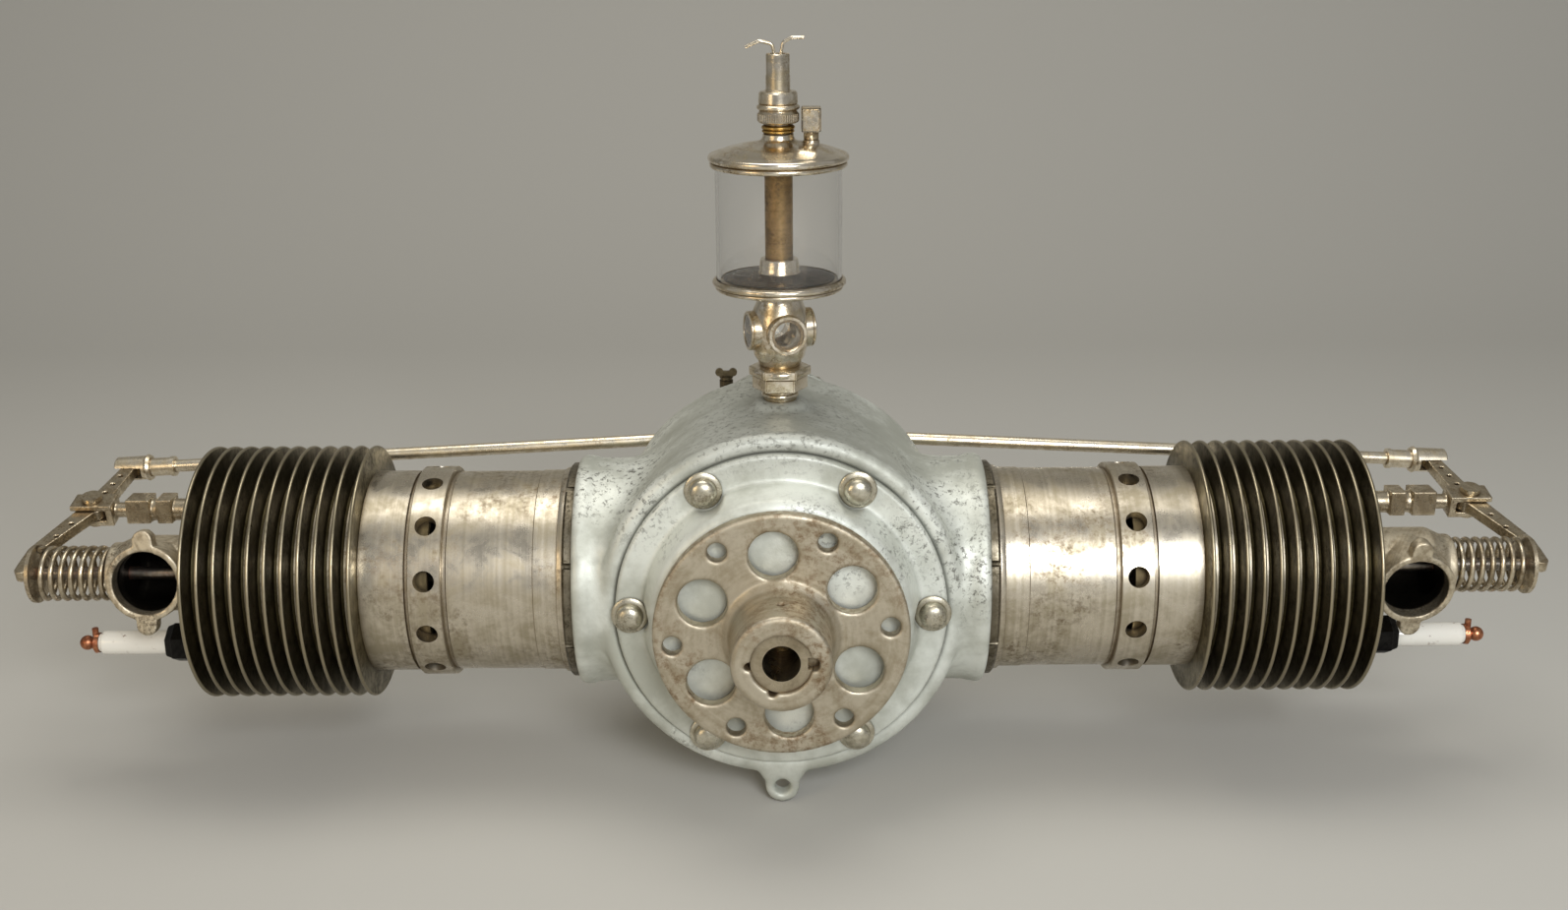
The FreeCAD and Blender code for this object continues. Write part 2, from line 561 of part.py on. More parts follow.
def make_crankshaft():
    """Two-throw crankshaft: right crankpin in front, left crankpin behind."""
    half = MID_WEB / 2
    pin_end = half + CRANKPIN_L
    parts = [web(-half, half, (1, -1)), web(-pin_end - END_WEB, -pin_end, (1,)),
             web(pin_end, pin_end + END_WEB, (-1,)),
             disc_y(CRANKPIN_R, -pin_end - 1, -half + 1, THROW),
             disc_y(CRANKPIN_R, half - 1, pin_end + 1, -THROW),
             disc_y(MAIN_R, HUB_FACE + HUB_T, -CRANK_IN + 1),
             disc_y(NOSE_R, HUB_BOSS_FACE + 3, HUB_FACE + HUB_T + 1),
             disc_y(MAIN_R, CRANK_IN - 1, CASE_REAR + 1),
             disc_y(13, CASE_REAR, GEAR_Y0 + GEAR_W)]
    shaft = fuse(*parts)
    keyway = box(NOSE_R - 3, NOSE_R + 1, HUB_BOSS_FACE, HUB_FACE + HUB_T, -KEY_W / 2, KEY_W / 2)
    drilled = disc_y(NOSE_BORE_R, HUB_BOSS_FACE, -CRANK_IN - 20)
    return shaft.cut(keyway.fuse(drilled))


def make_hub():
    """Propeller hub: flange with lightening and bolt holes, and a long keyed boss."""
    back = HUB_FACE + HUB_T
    hub = turned([(back, 0), (back, HUB_R), (HUB_FACE + 1, HUB_R), (HUB_FACE, HUB_R - 1),
                  (HUB_FACE, HUB_BOSS_R + 7), (HUB_FACE - 4, HUB_BOSS_R + 2.5), (HUB_FACE - 10, HUB_BOSS_R),
                  (HUB_BOSS_FACE + 2, HUB_BOSS_R), (HUB_BOSS_FACE, HUB_BOSS_R - 2), (HUB_BOSS_FACE, 0)],
                 ORIGIN, Y)
    cuts = [disc_y(NOSE_R, HUB_BOSS_FACE - 1, back + 1),
            box(0, NOSE_R + KEY_H, HUB_BOSS_FACE - 1, back + 1, -KEY_W / 2, KEY_W / 2),
            disc_y(2.6, HUB_BOSS_FACE - 1, HUB_BOSS_FACE + 12, -NOSE_R - 1.2, -1),
            disc_y(2.6, HUB_BOSS_FACE - 1, HUB_BOSS_FACE + 12, -5.5, -NOSE_R + 0.4),
            cyl(2.5, 20, V(0, (HUB_FACE + HUB_BOSS_FACE) / 2, NOSE_R - 2), Z)]
    for k in range(6):
        t = math.radians(90 + HUB_TURN + 60 * k)
        cuts.append(disc_y(LIGHT_HOLE_R, HUB_FACE - 1, back + 1,
                           LIGHT_HOLE_PCR * math.cos(t), LIGHT_HOLE_PCR * math.sin(t)))
        u = t + math.radians(30)
        cuts.append(disc_y(PROP_HOLE_R, HUB_FACE - 1, back + 1,
                           PROP_HOLE_PCR * math.cos(u), PROP_HOLE_PCR * math.sin(u)))
    return hub.cut(cuts[0].multiFuse(cuts[1:]))


def make_hub_key():
    """Parallel key between the crankshaft nose and the hub."""
    return box(NOSE_R - 3, NOSE_R + KEY_H, HUB_BOSS_FACE + 8, HUB_FACE + HUB_T - 2, -KEY_W / 2, KEY_W / 2)


def gear(teeth, bore, x, z, turn):
    """A spur gear with straight-flanked teeth, turned so that it meshes at rest."""
    pitch_r = MODULE * teeth / 2
    root_r, tip_r = pitch_r - 1.25 * MODULE, pitch_r + MODULE
    wheel = disc_y(root_r, GEAR_Y0, GEAR_Y0 + GEAR_W)
    root_half = math.pi * MODULE / 4 + 0.45 * MODULE - BACKLASH / 2
    tip_half = math.pi * MODULE / 4 - 0.38 * MODULE - BACKLASH / 2
    cog = Part.Face(Part.makePolygon([V(root_r - 1, GEAR_Y0, -root_half), V(tip_r, GEAR_Y0, -tip_half),
                                      V(tip_r, GEAR_Y0, tip_half), V(root_r - 1, GEAR_Y0, root_half),
                                      V(root_r - 1, GEAR_Y0, -root_half)])).extrude(V(0, GEAR_W, 0))
    cogs = []
    for k in range(teeth):
        tooth = cog.copy()
        tooth.rotate(ORIGIN, Y, -(turn + 360.0 * k / teeth))
        cogs.append(tooth)
    wheel = fuse(wheel, *cogs).cut(disc_y(bore, GEAR_Y0 - 1, GEAR_Y0 + GEAR_W + 1))
    wheel.translate(V(x, 0, z))
    return wheel


def make_crank_gear():
    """Pinion on the tail of the crankshaft."""
    return gear(CRANK_TEETH, 13, 0, 0, 90)


def make_cam_gear():
    """Half-speed gear on the camshaft, drilled for lightness."""
    wheel = gear(CAM_TEETH, CAM_SHAFT_R, 0, CAM_Z, 270 + 180.0 / CAM_TEETH)
    holes = []
    for k in range(6):
        t = math.radians(60 * k)
        holes.append(disc_y(7, GEAR_Y0 - 1, GEAR_Y0 + GEAR_W + 1, 26 * math.cos(t), CAM_Z + 26 * math.sin(t)))
    return wheel.cut(holes[0].multiFuse(holes[1:]))


def make_camshaft():
    """Camshaft with the one lobe that serves both opposed tappets."""
    nose_r = 7.0
    reach = CAM_BASE_R + CAM_LIFT - nose_r
    base = disc_y(CAM_BASE_R, CAM_Y - CAM_W / 2, CAM_Y + CAM_W / 2, 0, CAM_Z)
    nose = disc_y(nose_r, CAM_Y - CAM_W / 2, CAM_Y + CAM_W / 2, 0, CAM_Z + reach)
    lean = math.acos((CAM_BASE_R - nose_r) / reach)
    c, s = math.cos(lean), math.sin(lean)
    y0 = CAM_Y - CAM_W / 2
    flank = Part.Face(Part.makePolygon([
        V(CAM_BASE_R * s, y0, CAM_Z + CAM_BASE_R * c), V(nose_r * s, y0, CAM_Z + reach + nose_r * c),
        V(-nose_r * s, y0, CAM_Z + reach + nose_r * c), V(-CAM_BASE_R * s, y0, CAM_Z + CAM_BASE_R * c),
        V(CAM_BASE_R * s, y0, CAM_Z + CAM_BASE_R * c)])).extrude(V(0, CAM_W, 0))
    shaft = disc_y(CAM_SHAFT_R, 68, CHEST_BACK + CHEST_WALL + 7, 0, CAM_Z)
    return fuse(base, nose, flank, shaft)


def make_big_end(y):
    """Two brasses and two bolts round the right crankpin, beside the palm of the rod."""
    width = CRANKPIN_L - 1
    outer = box(THROW - BIG_END_H, THROW + BIG_END_H, y - width / 2, y + width / 2, -BIG_END_H, BIG_END_H)
    hole = disc_y(CRANKPIN_R + RUN, y - width, y + width, THROW)
    rounded = disc_y(BIG_END_H * 1.18, y - width, y + width, THROW)
    outer = outer.common(rounded).cut(hole)
    bolts, holes = [], []
    for z in (-BIG_END_H + 5.5, BIG_END_H - 5.5):
        start = THROW - 20
        holes.append(span(3.5, THROW - BIG_END_H - 1, THROW + BIG_END_H + 1, y, z))
        bolts.append(span(3.5, start, THROW + 20, y, z))
    outer = outer.cut(holes[0].fuse(holes[1]))
    split = box(THROW - 0.2, THROW + 0.2, y - width, y + width, -BIG_END_H - 1, BIG_END_H + 1)
    return Part.makeCompound(outer.cut(split).Solids + bolts)


# =========================================================================================
# heads: valve cages, valves, rockers, plugs
# =========================================================================================
def make_exhaust_cage(side):
    """Exhaust valve cage with its open elbow and two plain ears round the mouth."""
    tilt = PORT_TILT[side]
    centre = V(PORT_X, EX_Y, EX_Z)
    body = turned([(HEAD_FACE - HEAD_T, 0), (HEAD_FACE - HEAD_T, CAGE_R - 0.02), (HEAD_FACE, CAGE_R - 0.02),
                   (HEAD_FACE, CAGE_R + 3), (HEAD_FACE + 4, CAGE_R + 3), (HEAD_FACE + 6, CAGE_R - 1),
                   (SPRING_SEAT - 16, CAGE_R - 1), (SPRING_SEAT - 6, SPRING_R + 4),
                   (SPRING_SEAT, SPRING_R + 4), (SPRING_SEAT, 0)], V(0, EX_Y, EX_Z), X)
    branch = cyl(SOCKET_R + 4.5, EX_Y - PORT_MOUTH, V(PORT_X, PORT_MOUTH, EX_Z), Y)
    ears = []
    for s in (1, -1):
        tip = cyl(EAR_W / 2, 9, V(PORT_X, PORT_MOUTH, EX_Z + s * (EAR_REACH - EAR_W / 2)), Y)
        low, high = sorted((0, s * (EAR_REACH - EAR_W / 2)))
        bar = box(PORT_X - EAR_W / 2, PORT_X + EAR_W / 2, PORT_MOUTH, PORT_MOUTH + 9, EX_Z + low, EX_Z + high)
        ears += [tip, bar]
    mouth = fuse(cyl(PORT_BORE_R, EX_Y - PORT_MOUTH, V(PORT_X, PORT_MOUTH, EX_Z), Y),
                 cyl(SOCKET_R, SOCKET_L + 1, V(PORT_X, PORT_MOUTH - 1, EX_Z), Y))
    elbow = fuse(branch, *ears)
    for piece in (elbow, mouth):
        piece.rotate(centre, X, tilt)
    passage = turned([(HEAD_FACE - HEAD_T - 1, 0), (HEAD_FACE - HEAD_T - 1, VALVE_R + GAP),
                      (HEAD_FACE - HEAD_T + 4, VALVE_R + GAP), (HEAD_FACE - HEAD_T + 7, PORT_BORE_R),
                      (PORT_X + PORT_BORE_R - 4, PORT_BORE_R), (PORT_X + PORT_BORE_R, PORT_BORE_R - 4),
                      (PORT_X + PORT_BORE_R, 0)], V(0, EX_Y, EX_Z), X)
    stem = span(STEM_R + RUN, PORT_X, SPRING_SEAT + 1, EX_Y, EX_Z)
    return fuse(body, elbow).cut(passage.multiFuse([mouth, stem]))


def make_inlet_cage():
    """Inlet valve cage, with its mouth turned to the rear."""
    body = turned([(HEAD_FACE - HEAD_T, 0), (HEAD_FACE - HEAD_T, CAGE_R - 0.02), (HEAD_FACE, CAGE_R - 0.02),
                   (HEAD_FACE, CAGE_R + 1), (HEAD_FACE + 4, CAGE_R + 1), (HEAD_FACE + 6, CAGE_R - 3),
                   (HEAD_FACE + 34, CAGE_R - 3), (HEAD_FACE + 42, 14), (HEAD_FACE + 50, 12),
                   (HEAD_FACE + 50, 0)], V(0, IN_Y, IN_Z), X)
    centre = V(HEAD_FACE + 20, IN_Y, IN_Z)
    branch = cyl(INLET_SOCKET_R + 4, INLET_REACH, centre, Y)
    mouth = fuse(cyl(INLET_BORE_R, INLET_REACH, centre, Y),
                 cyl(INLET_SOCKET_R, INLET_SOCKET_L + 1, centre + Y * (INLET_REACH - INLET_SOCKET_L), Y))
    passage = turned([(HEAD_FACE - HEAD_T - 1, 0), (HEAD_FACE - HEAD_T - 1, VALVE_R + GAP),
                      (HEAD_FACE - HEAD_T + 4, VALVE_R + GAP), (HEAD_FACE - HEAD_T + 7, VALVE_R - 4),
                      (HEAD_FACE + 30, VALVE_R - 4), (HEAD_FACE + 34, 8), (HEAD_FACE + 34, 0)],
                     V(0, IN_Y, IN_Z), X)
    stem = span(3.5 + RUN, HEAD_FACE, HEAD_FACE + 51, IN_Y, IN_Z)
    return fuse(body, branch).cut(passage.multiFuse([mouth, stem]))


def make_exhaust_valve():
    """Mushroom valve that the rocker pushes inwards."""
    back = HEAD_FACE - HEAD_T
    return turned([(back, 0), (back, VALVE_R), (back + 2, VALVE_R), (back + 4, VALVE_R - 2),
                   (back + 9, 8), (back + 18, STEM_R), (STEM_TIP - 1, STEM_R), (STEM_TIP, STEM_R - 1),
                   (STEM_TIP, 0)], V(0, EX_Y, EX_Z), X)


def make_exhaust_retainer():
    """Cup that holds the outer end of the spring, with its round cotter."""
    cup = turned([(SPRING_END, STEM_R + 0.02), (SPRING_END, SPRING_R + 3), (SPRING_END + 2.5, SPRING_R + 3),
                  (SPRING_END + 4, SPRING_R), (SPRING_END + 4, STEM_R + 0.02)], V(0, EX_Y, EX_Z), X)
    return cup


def make_inlet_valve():
    """Light automatic valve with a small retainer on its tail."""
    back = HEAD_FACE - HEAD_T
    tail = HEAD_FACE + 74
    return turned([(back, 0), (back, VALVE_R), (back + 2, VALVE_R), (back + 4, VALVE_R - 2),
                   (back + 8, 6), (back + 14, 3.5), (tail, 3.5), (tail, 9), (tail + 3, 9), (tail + 3, 3.5),
                   (tail + 8, 3.5), (tail + 8, 0)], V(0, IN_Y, IN_Z), X)


def rocker_frame():
    """Unit vectors from the yoke pin to the valve axis, and along the rocker pivot."""
    yoke = push_point(PUSH_REACH)
    to_valve = V(0, EX_Y - yoke.y, EX_Z - yoke.z).normalize()
    return to_valve, to_valve.cross(X)


def rocker_centre():
    """The pivot, on the line from the yoke pin to the valve axis."""
    yoke = push_point(PUSH_REACH)
    share = (yoke.y - ROCKER_Y) / (yoke.y - EX_Y)
    return V(ROCKER_X, ROCKER_Y, yoke.z + share * (EX_Z - yoke.z))


def in_rocker(out, across, up=0.0):
    """A point given from the pivot: outwards, towards the valve, and along the pivot axis."""
    to_valve, pivot = rocker_frame()
    return rocker_centre() + X * out + to_valve * across + pivot * up


def push_end():
    """Where the pushrod yoke meets the rocker, as (out, across) in the rocker plane."""
    offset = push_point(PUSH_REACH) - rocker_centre()
    return offset.x, offset.dot(rocker_frame()[0])


def valve_end():
    """Distance from pivot to valve axis in the rocker plane."""
    centre = rocker_centre()
    return math.hypot(EX_Y - centre.y, EX_Z - centre.z)


def make_rocker():
    """Drilled lever from the pushrod yoke, over its pivot, to the valve stem."""
    pivot = rocker_frame()[1]
    down = ROCKER_T / 2
    out_p, across_p = push_end()
    out_v, across_v = STEM_TIP + 5.0 + GAP - ROCKER_X, valve_end()

    def plate(points):
        corners = [in_rocker(o, a, -down) for o, a in points]
        return Part.Face(Part.makePolygon(corners + [corners[0]])).extrude(pivot * ROCKER_T)

    def round_at(out, across, r):
        return cyl(r, ROCKER_T, in_rocker(out, across, -down), pivot)

    arm_push = plate([(-8, 0), (out_p - 5, across_p), (out_p + 5, across_p), (8, 0)])
    arm_valve = plate([(-8, 0), (8, 0), (out_v + 4.5, across_v - 24), (out_v + 4.9, across_v),
                       (out_v - 4.9, across_v), (out_v - 5, across_v - 23)])
    body = fuse(round_at(0, 0, 10), arm_push, round_at(out_p, across_p, 6.5), arm_valve,
                round_at(out_v, across_v, 5))
    slot_r = YOKE_PIN_R + GAP
    slot = [cyl(slot_r, 30, in_rocker(out_p, across_p + d, -15), pivot) for d in (-1.2, 1.2)]
    flat = [in_rocker(out_p + o * slot_r, across_p + d * 1.2, -15) for o, d in ((-1, -1), (1, -1), (1, 1), (-1, 1))]
    slot.append(Part.Face(Part.makePolygon(flat + [flat[0]])).extrude(pivot * 30))
    cuts = slot + [cyl(ROCKER_PIN_R + RUN, 30, in_rocker(0, 0, -15), pivot)]
    for f in (0.3, 0.5, 0.7):
        cuts.append(cyl(1.8, 30, in_rocker(out_p * f, across_p * f, -15), pivot))
        cuts.append(cyl(1.8, 30, in_rocker((out_v + 3) * f, across_v * f, -15), pivot))
    return body.cut(cuts[0].multiFuse(cuts[1:]))


def make_rocker_bracket():
    """Arm screwed into the head, ending in the fork that carries the rocker."""
    pivot = rocker_frame()[1]
    y, z = rocker_centre().y, rocker_centre().z
    arm = turned([(HEAD_FACE - 8, 0), (HEAD_FACE - 8, 5.9), (HEAD_FACE, 5.9), (HEAD_FACE, 10.5), (HEAD_FACE + 6, 10.5),
                  (HEAD_FACE + 9, 8), (474, 8), (474, 5.5), (486, 5.5), (486, 0)], V(0, y, z), X)
    blocks = [box(441, 452, y - 9, y + 9, z - 8, z + 10), box(457, 474, y - 9, y + 9, z - 8, z + 10)]
    half = ROCKER_T / 2 + GAP + 4
    corner = in_rocker(-16, -9, -half)
    fork = Part.Face(Part.makePolygon([corner, in_rocker(14, -9, -half), in_rocker(14, 9, -half),
                                       in_rocker(-16, 9, -half), corner])).extrude(pivot * (2 * half))
    slot_half = ROCKER_T / 2 + GAP
    start = in_rocker(-11, -20, -slot_half)
    slot = Part.Face(Part.makePolygon([start, in_rocker(20, -20, -slot_half), in_rocker(20, 20, -slot_half),
                                       in_rocker(-11, 20, -slot_half), start])).extrude(pivot * (2 * slot_half))
    hole = cyl(ROCKER_PIN_R, 40, in_rocker(0, 0, -20), pivot)
    return fuse(arm, fork, *blocks).cut(slot.fuse(hole))


def make_rocker_pin():
    """Pivot pin with a round head on top."""
    pivot = rocker_frame()[1]
    half = ROCKER_T / 2 + GAP + 4
    head = cyl(7, 4, in_rocker(0, 0, half), pivot)
    tail = cyl(5.5, 3, in_rocker(0, 0, -half - 3), pivot)
    return fuse(head, tail, cyl(ROCKER_PIN_R, 2 * half + 2, in_rocker(0, 0, -half - 1), pivot))


def make_tappet():
    """Flat-faced tappet in the guide of the timing cover."""
    base = push_point(0)
    return turned([(TAPPET_START, 0), (TAPPET_START, TAPPET_FACE_R), (TAPPET_START + 4, TAPPET_FACE_R),
                   (TAPPET_START + 6, TAPPET_R), (TAPPET_END - 1, TAPPET_R), (TAPPET_END, TAPPET_R - 1),
                   (TAPPET_END, 0)], base, push_axis())


def make_pushrod():
    """Steel rod with its adjusting sleeve and the yoke that grips the rocker."""
    pivot = rocker_frame()[1]
    out_p, across_p = push_end()
    distance = PUSH_REACH
    rod = turned([(TAPPET_END, 0), (TAPPET_END, 3.5), (TAPPET_END + 2, PUSHROD_R), (distance - 33, PUSHROD_R),
                  (distance - 33, 7.5), (distance - 30, 7.5), (distance - 30, 6.8), (distance - 15, 6.8),
                  (distance - 15, YOKE_R), (distance - 13, YOKE_R + 1), (distance - 11, YOKE_R),
                  (distance + 10, YOKE_R), (distance + 11, YOKE_R - 1), (distance + 11, 0)],
                 push_point(0), push_axis())
    slot_half = ROCKER_T / 2 + 0.5
    corner = in_rocker(out_p - 9, across_p - 14, -slot_half)
    slot = Part.Face(Part.makePolygon([corner, in_rocker(out_p + 16, across_p - 14, -slot_half),
                                       in_rocker(out_p + 16, across_p + 14, -slot_half),
                                       in_rocker(out_p - 9, across_p + 14, -slot_half), corner])
                     ).extrude(pivot * (2 * slot_half))
    pin = cyl(YOKE_PIN_R, 16, in_rocker(out_p, across_p, -8), pivot)
    return fuse(rod.cut(slot), pin)


def make_plug_body():
    """Hexagon and thread of the spark plug."""
    start = HEAD_FACE - HEAD_T
    body = fuse(span(PLUG_THREAD_R - 0.02, start, HEAD_FACE, PLUG_Y, PLUG_Z),
                hexagon(25, 16, V(HEAD_FACE, PLUG_Y, PLUG_Z), X),
                span(11, HEAD_FACE + 16, HEAD_FACE + 26, PLUG_Y, PLUG_Z))
    return body.cut(span(6.5, start - 1, HEAD_FACE + 27, PLUG_Y, PLUG_Z))


def make_plug_insulator():
    """Long porcelain of the spark plug."""
    start = HEAD_FACE - HEAD_T
    return turned([(start + 1, 1.5), (start + 1, 6.45), (HEAD_FACE + 26, 6.45), (HEAD_FACE + 26, 8.6),
                   (478, 8.6), (481, 7.6), (482, 6.5), (482, 1.5)], V(0, PLUG_Y, PLUG_Z), X)


def make_plug_terminal():
    """Centre electrode with its copper terminal and ball."""
    rod = turned([(HEAD_FACE - HEAD_T - 3, 0), (HEAD_FACE - HEAD_T - 3, 1.48), (482, 1.48), (482, 7),
                  (485, 7.5), (487, 5), (488, 4), (489, 4), (489, 0)], V(0, PLUG_Y, PLUG_Z), X)
    ball = Part.makeSphere(5.2, V(491.5, PLUG_Y, PLUG_Z))
    screw = cyl(2.2, 6, V(485, PLUG_Y, PLUG_Z + 5), Z)
    return fuse(rod, ball, screw)


# =========================================================================================
# oiler
# =========================================================================================
def make_oiler_body():
    """Sight-feed body: hexagons, globe with four windows and the dished base of the glass."""
    z = BOSS_TOP
    stem = turned([(z + 2, 0), (z + 2, 13.5), (z + 18, 13.5), (z + 27, 15), (z + 32, 17.5), (z + 40, 19.6),
                   (SIGHT_Z, 20.2), (SIGHT_Z + 10, 19), (SIGHT_Z + 17, 16), (SIGHT_Z + 23, 14.5),
                   (OIL_BASE_Z - 1, 17), (OIL_BASE_Z, 38), (OIL_BASE_Z + 1.5, OIL_BASE_R),
                   (OIL_BASE_Z + 4.5, OIL_BASE_R), (OIL_BASE_Z + 6.5, GLASS_R + 1.5),
                   (OIL_BASE_Z + 9, GLASS_R + 1.2), (OIL_BASE_Z + 9, GLASS_R + 0.3),
                   (GLASS_Z0, GLASS_R + 0.3), (GLASS_Z0, GLASS_R - GLASS_T - 0.3), (GLASS_Z0 + 2, 34),
                   (GLASS_Z0 + 3, 13.5), (GLASS_Z0 + 14, 12.5), (GLASS_Z0 + 14, 0)], ORIGIN, Z)
    flats = [hexagon(OIL_HEX_AF, 8, V(0, 0, z), Z), hexagon(OIL_HEX_AF + 4, 8, V(0, 0, z + 15.5), Z)]
    spigot = cyl(5.9, 22, V(0, 0, z - 20), Z)
    rims = [cyl(SIGHT_R + 2.2, 22.5, V(0, 0, SIGHT_Z), d) for d in (X, X * -1, Y, Y * -1)]
    body = fuse(stem, spigot, *(flats + rims))
    cuts = [cyl(SIGHT_R - 2, 26, V(0, 0, SIGHT_Z), d) for d in (X, X * -1, Y, Y * -1)]
    cuts += [cyl(SIGHT_R, 3, V(0, 0, SIGHT_Z) + d * 20, d) for d in (X, X * -1, Y, Y * -1)]
    cuts += [cyl(13, 26, V(0, 0, SIGHT_Z - 13), Z), cyl(3, 200, V(0, 0, z - 25), Z),
             cyl(TUBE_R - 3, 30, V(0, 0, GLASS_Z0 + 2), Z)]
    return body.cut(cuts[0].multiFuse(cuts[1:]))


def make_sight_glasses():
    """Four round windows in the globe."""
    return Part.makeCompound([cyl(SIGHT_R - 0.1, 2, V(0, 0, SIGHT_Z) + d * 20.1, d)
                              for d in (X, X * -1, Y, Y * -1)])


def make_oiler_glass():
    """Glass reservoir wall."""
    outer = cyl(GLASS_R, GLASS_Z1 - GLASS_Z0, V(0, 0, GLASS_Z0), Z)
    return outer.cut(cyl(GLASS_R - GLASS_T, 200, V(0, 0, GLASS_Z0 - 10), Z))


def make_oiler_tube():
    """Brass tie tube up the middle, which the needle runs down."""
    z0 = GLASS_Z0 + 14
    tube = cyl(TUBE_R, GLASS_Z1 + 1 - z0, V(0, 0, z0), Z)
    return tube.cut(cyl(4, 200, V(0, 0, z0 - 10), Z))


def make_oiler_lid():
    """Beaded lid with its neck and the threaded stem of the regulator."""
    lid = turned([(GLASS_Z1 + 1, 0), (GLASS_Z1 + 1, GLASS_R - GLASS_T - 0.3), (GLASS_Z1, GLASS_R - GLASS_T - 0.3),
                  (GLASS_Z1, GLASS_R + 0.3), (GLASS_Z1 - 2, GLASS_R + 0.3), (GLASS_Z1 - 2, LID_R - 1.5),
                  (GLASS_Z1, LID_R), (GLASS_Z1 + 3, LID_R), (GLASS_Z1 + 4.5, LID_R - 2),
                  (GLASS_Z1 + 6, LID_R - 2.5), (GLASS_Z1 + 8, LID_R - 5), (LID_TOP - 1, 30),
                  (LID_TOP, 12), (LID_TOP + 3, 8.5), (LID_TOP + 7, 10.3), (LID_TOP + 8.5, 10.3),
                  (LID_TOP + 8.5, 7.3), (LID_TOP + 20, 7.3), (LID_TOP + 20, 0)], ORIGIN, Z)
    post = cyl(5.5, 9, V(FILLER_X, 0, LID_TOP - 3), Z)
    holes = [cyl(4, 60, V(0, 0, GLASS_Z1 - 5), Z), cyl(FILLER_R + RUN, 30, V(FILLER_X, 0, GLASS_Z1 - 5), Z)]
    return fuse(lid, post).cut(holes[0].fuse(holes[1]))


def make_oiler_nut():
    """Stepped and grooved regulator nut with the slotted sleeve of the snap lever."""
    z = LID_TOP + 17
    nut = turned([(z, 7.4), (z, 13), (z + 1, 13.8), (z + 7, 13.8), (z + 8, 12.4), (z + 9, 12.4), (z + 10, 13.4),
                  (z + 14, 13.4), (z + 15, 12), (z + 20, 11.4), (z + 21, 8), (z + 44, 8), (z + 44, 5.3),
                  (z + 6, 5.3), (z + 6, 7.4)], ORIGIN, Z)
    grooves = []
    for k in range(16):
        t = math.radians(22.5 * k)
        grooves.append(cyl(1.0, 5, V(14.1 * math.cos(t), 14.1 * math.sin(t), z + 1.5), Z))
    slot = box(-9, 9, -2.4, 2.4, z + 30, z + 45)
    pin_hole = cyl(1.9 + RUN, 20, V(0, -10, z + 37), Y)
    return nut.cut(slot.multiFuse(grooves + [pin_hole]))


def make_oiler_needle():
    """Feed needle with its lift collar."""
    z = LID_TOP + 17
    return turned([(GLASS_Z0 + 4, 0), (GLASS_Z0 + 8, NEEDLE_R), (z + 8, NEEDLE_R), (z + 8, 4.9), (z + 12, 4.9),
                   (z + 12, NEEDLE_R), (z + 34.7, NEEDLE_R), (z + 34.7, 0)], ORIGIN, Z)


def bent_wire(points, r, bend):
    """A round wire through points, with arcs of radius bend at its corners."""
    edges, last = [], points[0]
    for before, here, after in zip(points, points[1:], points[2:]):
        a, b = (before - here).normalize(), (after - here).normalize()
        half = math.acos(max(-1.0, min(1.0, a.dot(b)))) / 2
        cut = bend / math.tan(half)
        middle = here + (a + b).normalize() * (bend / math.sin(half) - bend)
        edges.append(Part.makeLine(last, here + a * cut))
        edges.append(Part.Arc(here + a * cut, middle, here + b * cut).toShape())
        last = here + b * cut
    edges.append(Part.makeLine(last, points[-1]))
    path = Part.Wire(edges)
    section = Part.Wire([Part.makeCircle(r, points[0], points[1] - points[0])])
    return path.makePipeShell([section], True, True)


def make_snap_lever():
    """Two bent wire arms on a cross pin through the slotted sleeve."""
    z = LID_TOP + 17 + 37
    hub = cyl(1.9, 16.4, V(0, -8.2, z), Y)
    left = bent_wire([V(-0.8, 0, z), V(-3.6, 0, z + 13), V(-12, 0, z + 15), V(-21, 0, z + 11)], 1.1, 3.0)
    right = bent_wire([V(0.8, 0, z), V(3.4, 0, z + 14), V(9, 0, z + 17), V(17, 0, z + 17)], 1.1, 3.0)
    return fuse(hub, left, right)


def make_filler_cap():
    """Square-headed filler plug that lifts out of the lid."""
    z = LID_TOP + 6
    head = box(FILLER_X - 6.5, FILLER_X + 6.5, -6.5, 6.5, z + 3, z + 14)
    head = head.makeFillet(2.0, [e for e in head.Edges if e.BoundBox.ZLength > 10])
    return fuse(head, cyl(5, 3.5, V(FILLER_X, 0, z), Z), cyl(FILLER_R, 10, V(FILLER_X, 0, z - 8), Z))


def make_cock_body():
    """Body of the breather cock on the timing chest."""
    base = V(COCK_X, COCK_Y, COCK_Z0)
    shell = turned([(3.5, 0), (3.5, 4), (6, 5), (11, 5), (11, 0)], base, Z)
    plug_room = cyl(3 + RUN, 20, base + Z * 4.5, Z)
    return fuse(hexagon(11, 4, base, Z), shell).cut(plug_room.fuse(cyl(2, 10, base - Z, Z)))


def make_cock_handle():
    """Plug and wing of the breather cock."""
    base = V(COCK_X, COCK_Y, COCK_Z0)
    tips = [cyl(3, 2.4, V(COCK_X + s * 5, COCK_Y - 1.2, COCK_Z0 + 17), Y) for s in (1, -1)]
    bar = box(COCK_X - 5, COCK_X + 5, COCK_Y - 1.2, COCK_Y + 1.2, COCK_Z0 + 13, COCK_Z0 + 18)
    return fuse(cyl(3, 9, base + Z * 5, Z), cyl(4.5, 2.2, base + Z * 11.3, Z), bar, *tips)


# =========================================================================================
# all pieces
# =========================================================================================
def pair(shape):
    """The same piece on both sides, as separate solids of one group."""
    return Part.makeCompound([shape, shape.mirror(ORIGIN, X)])


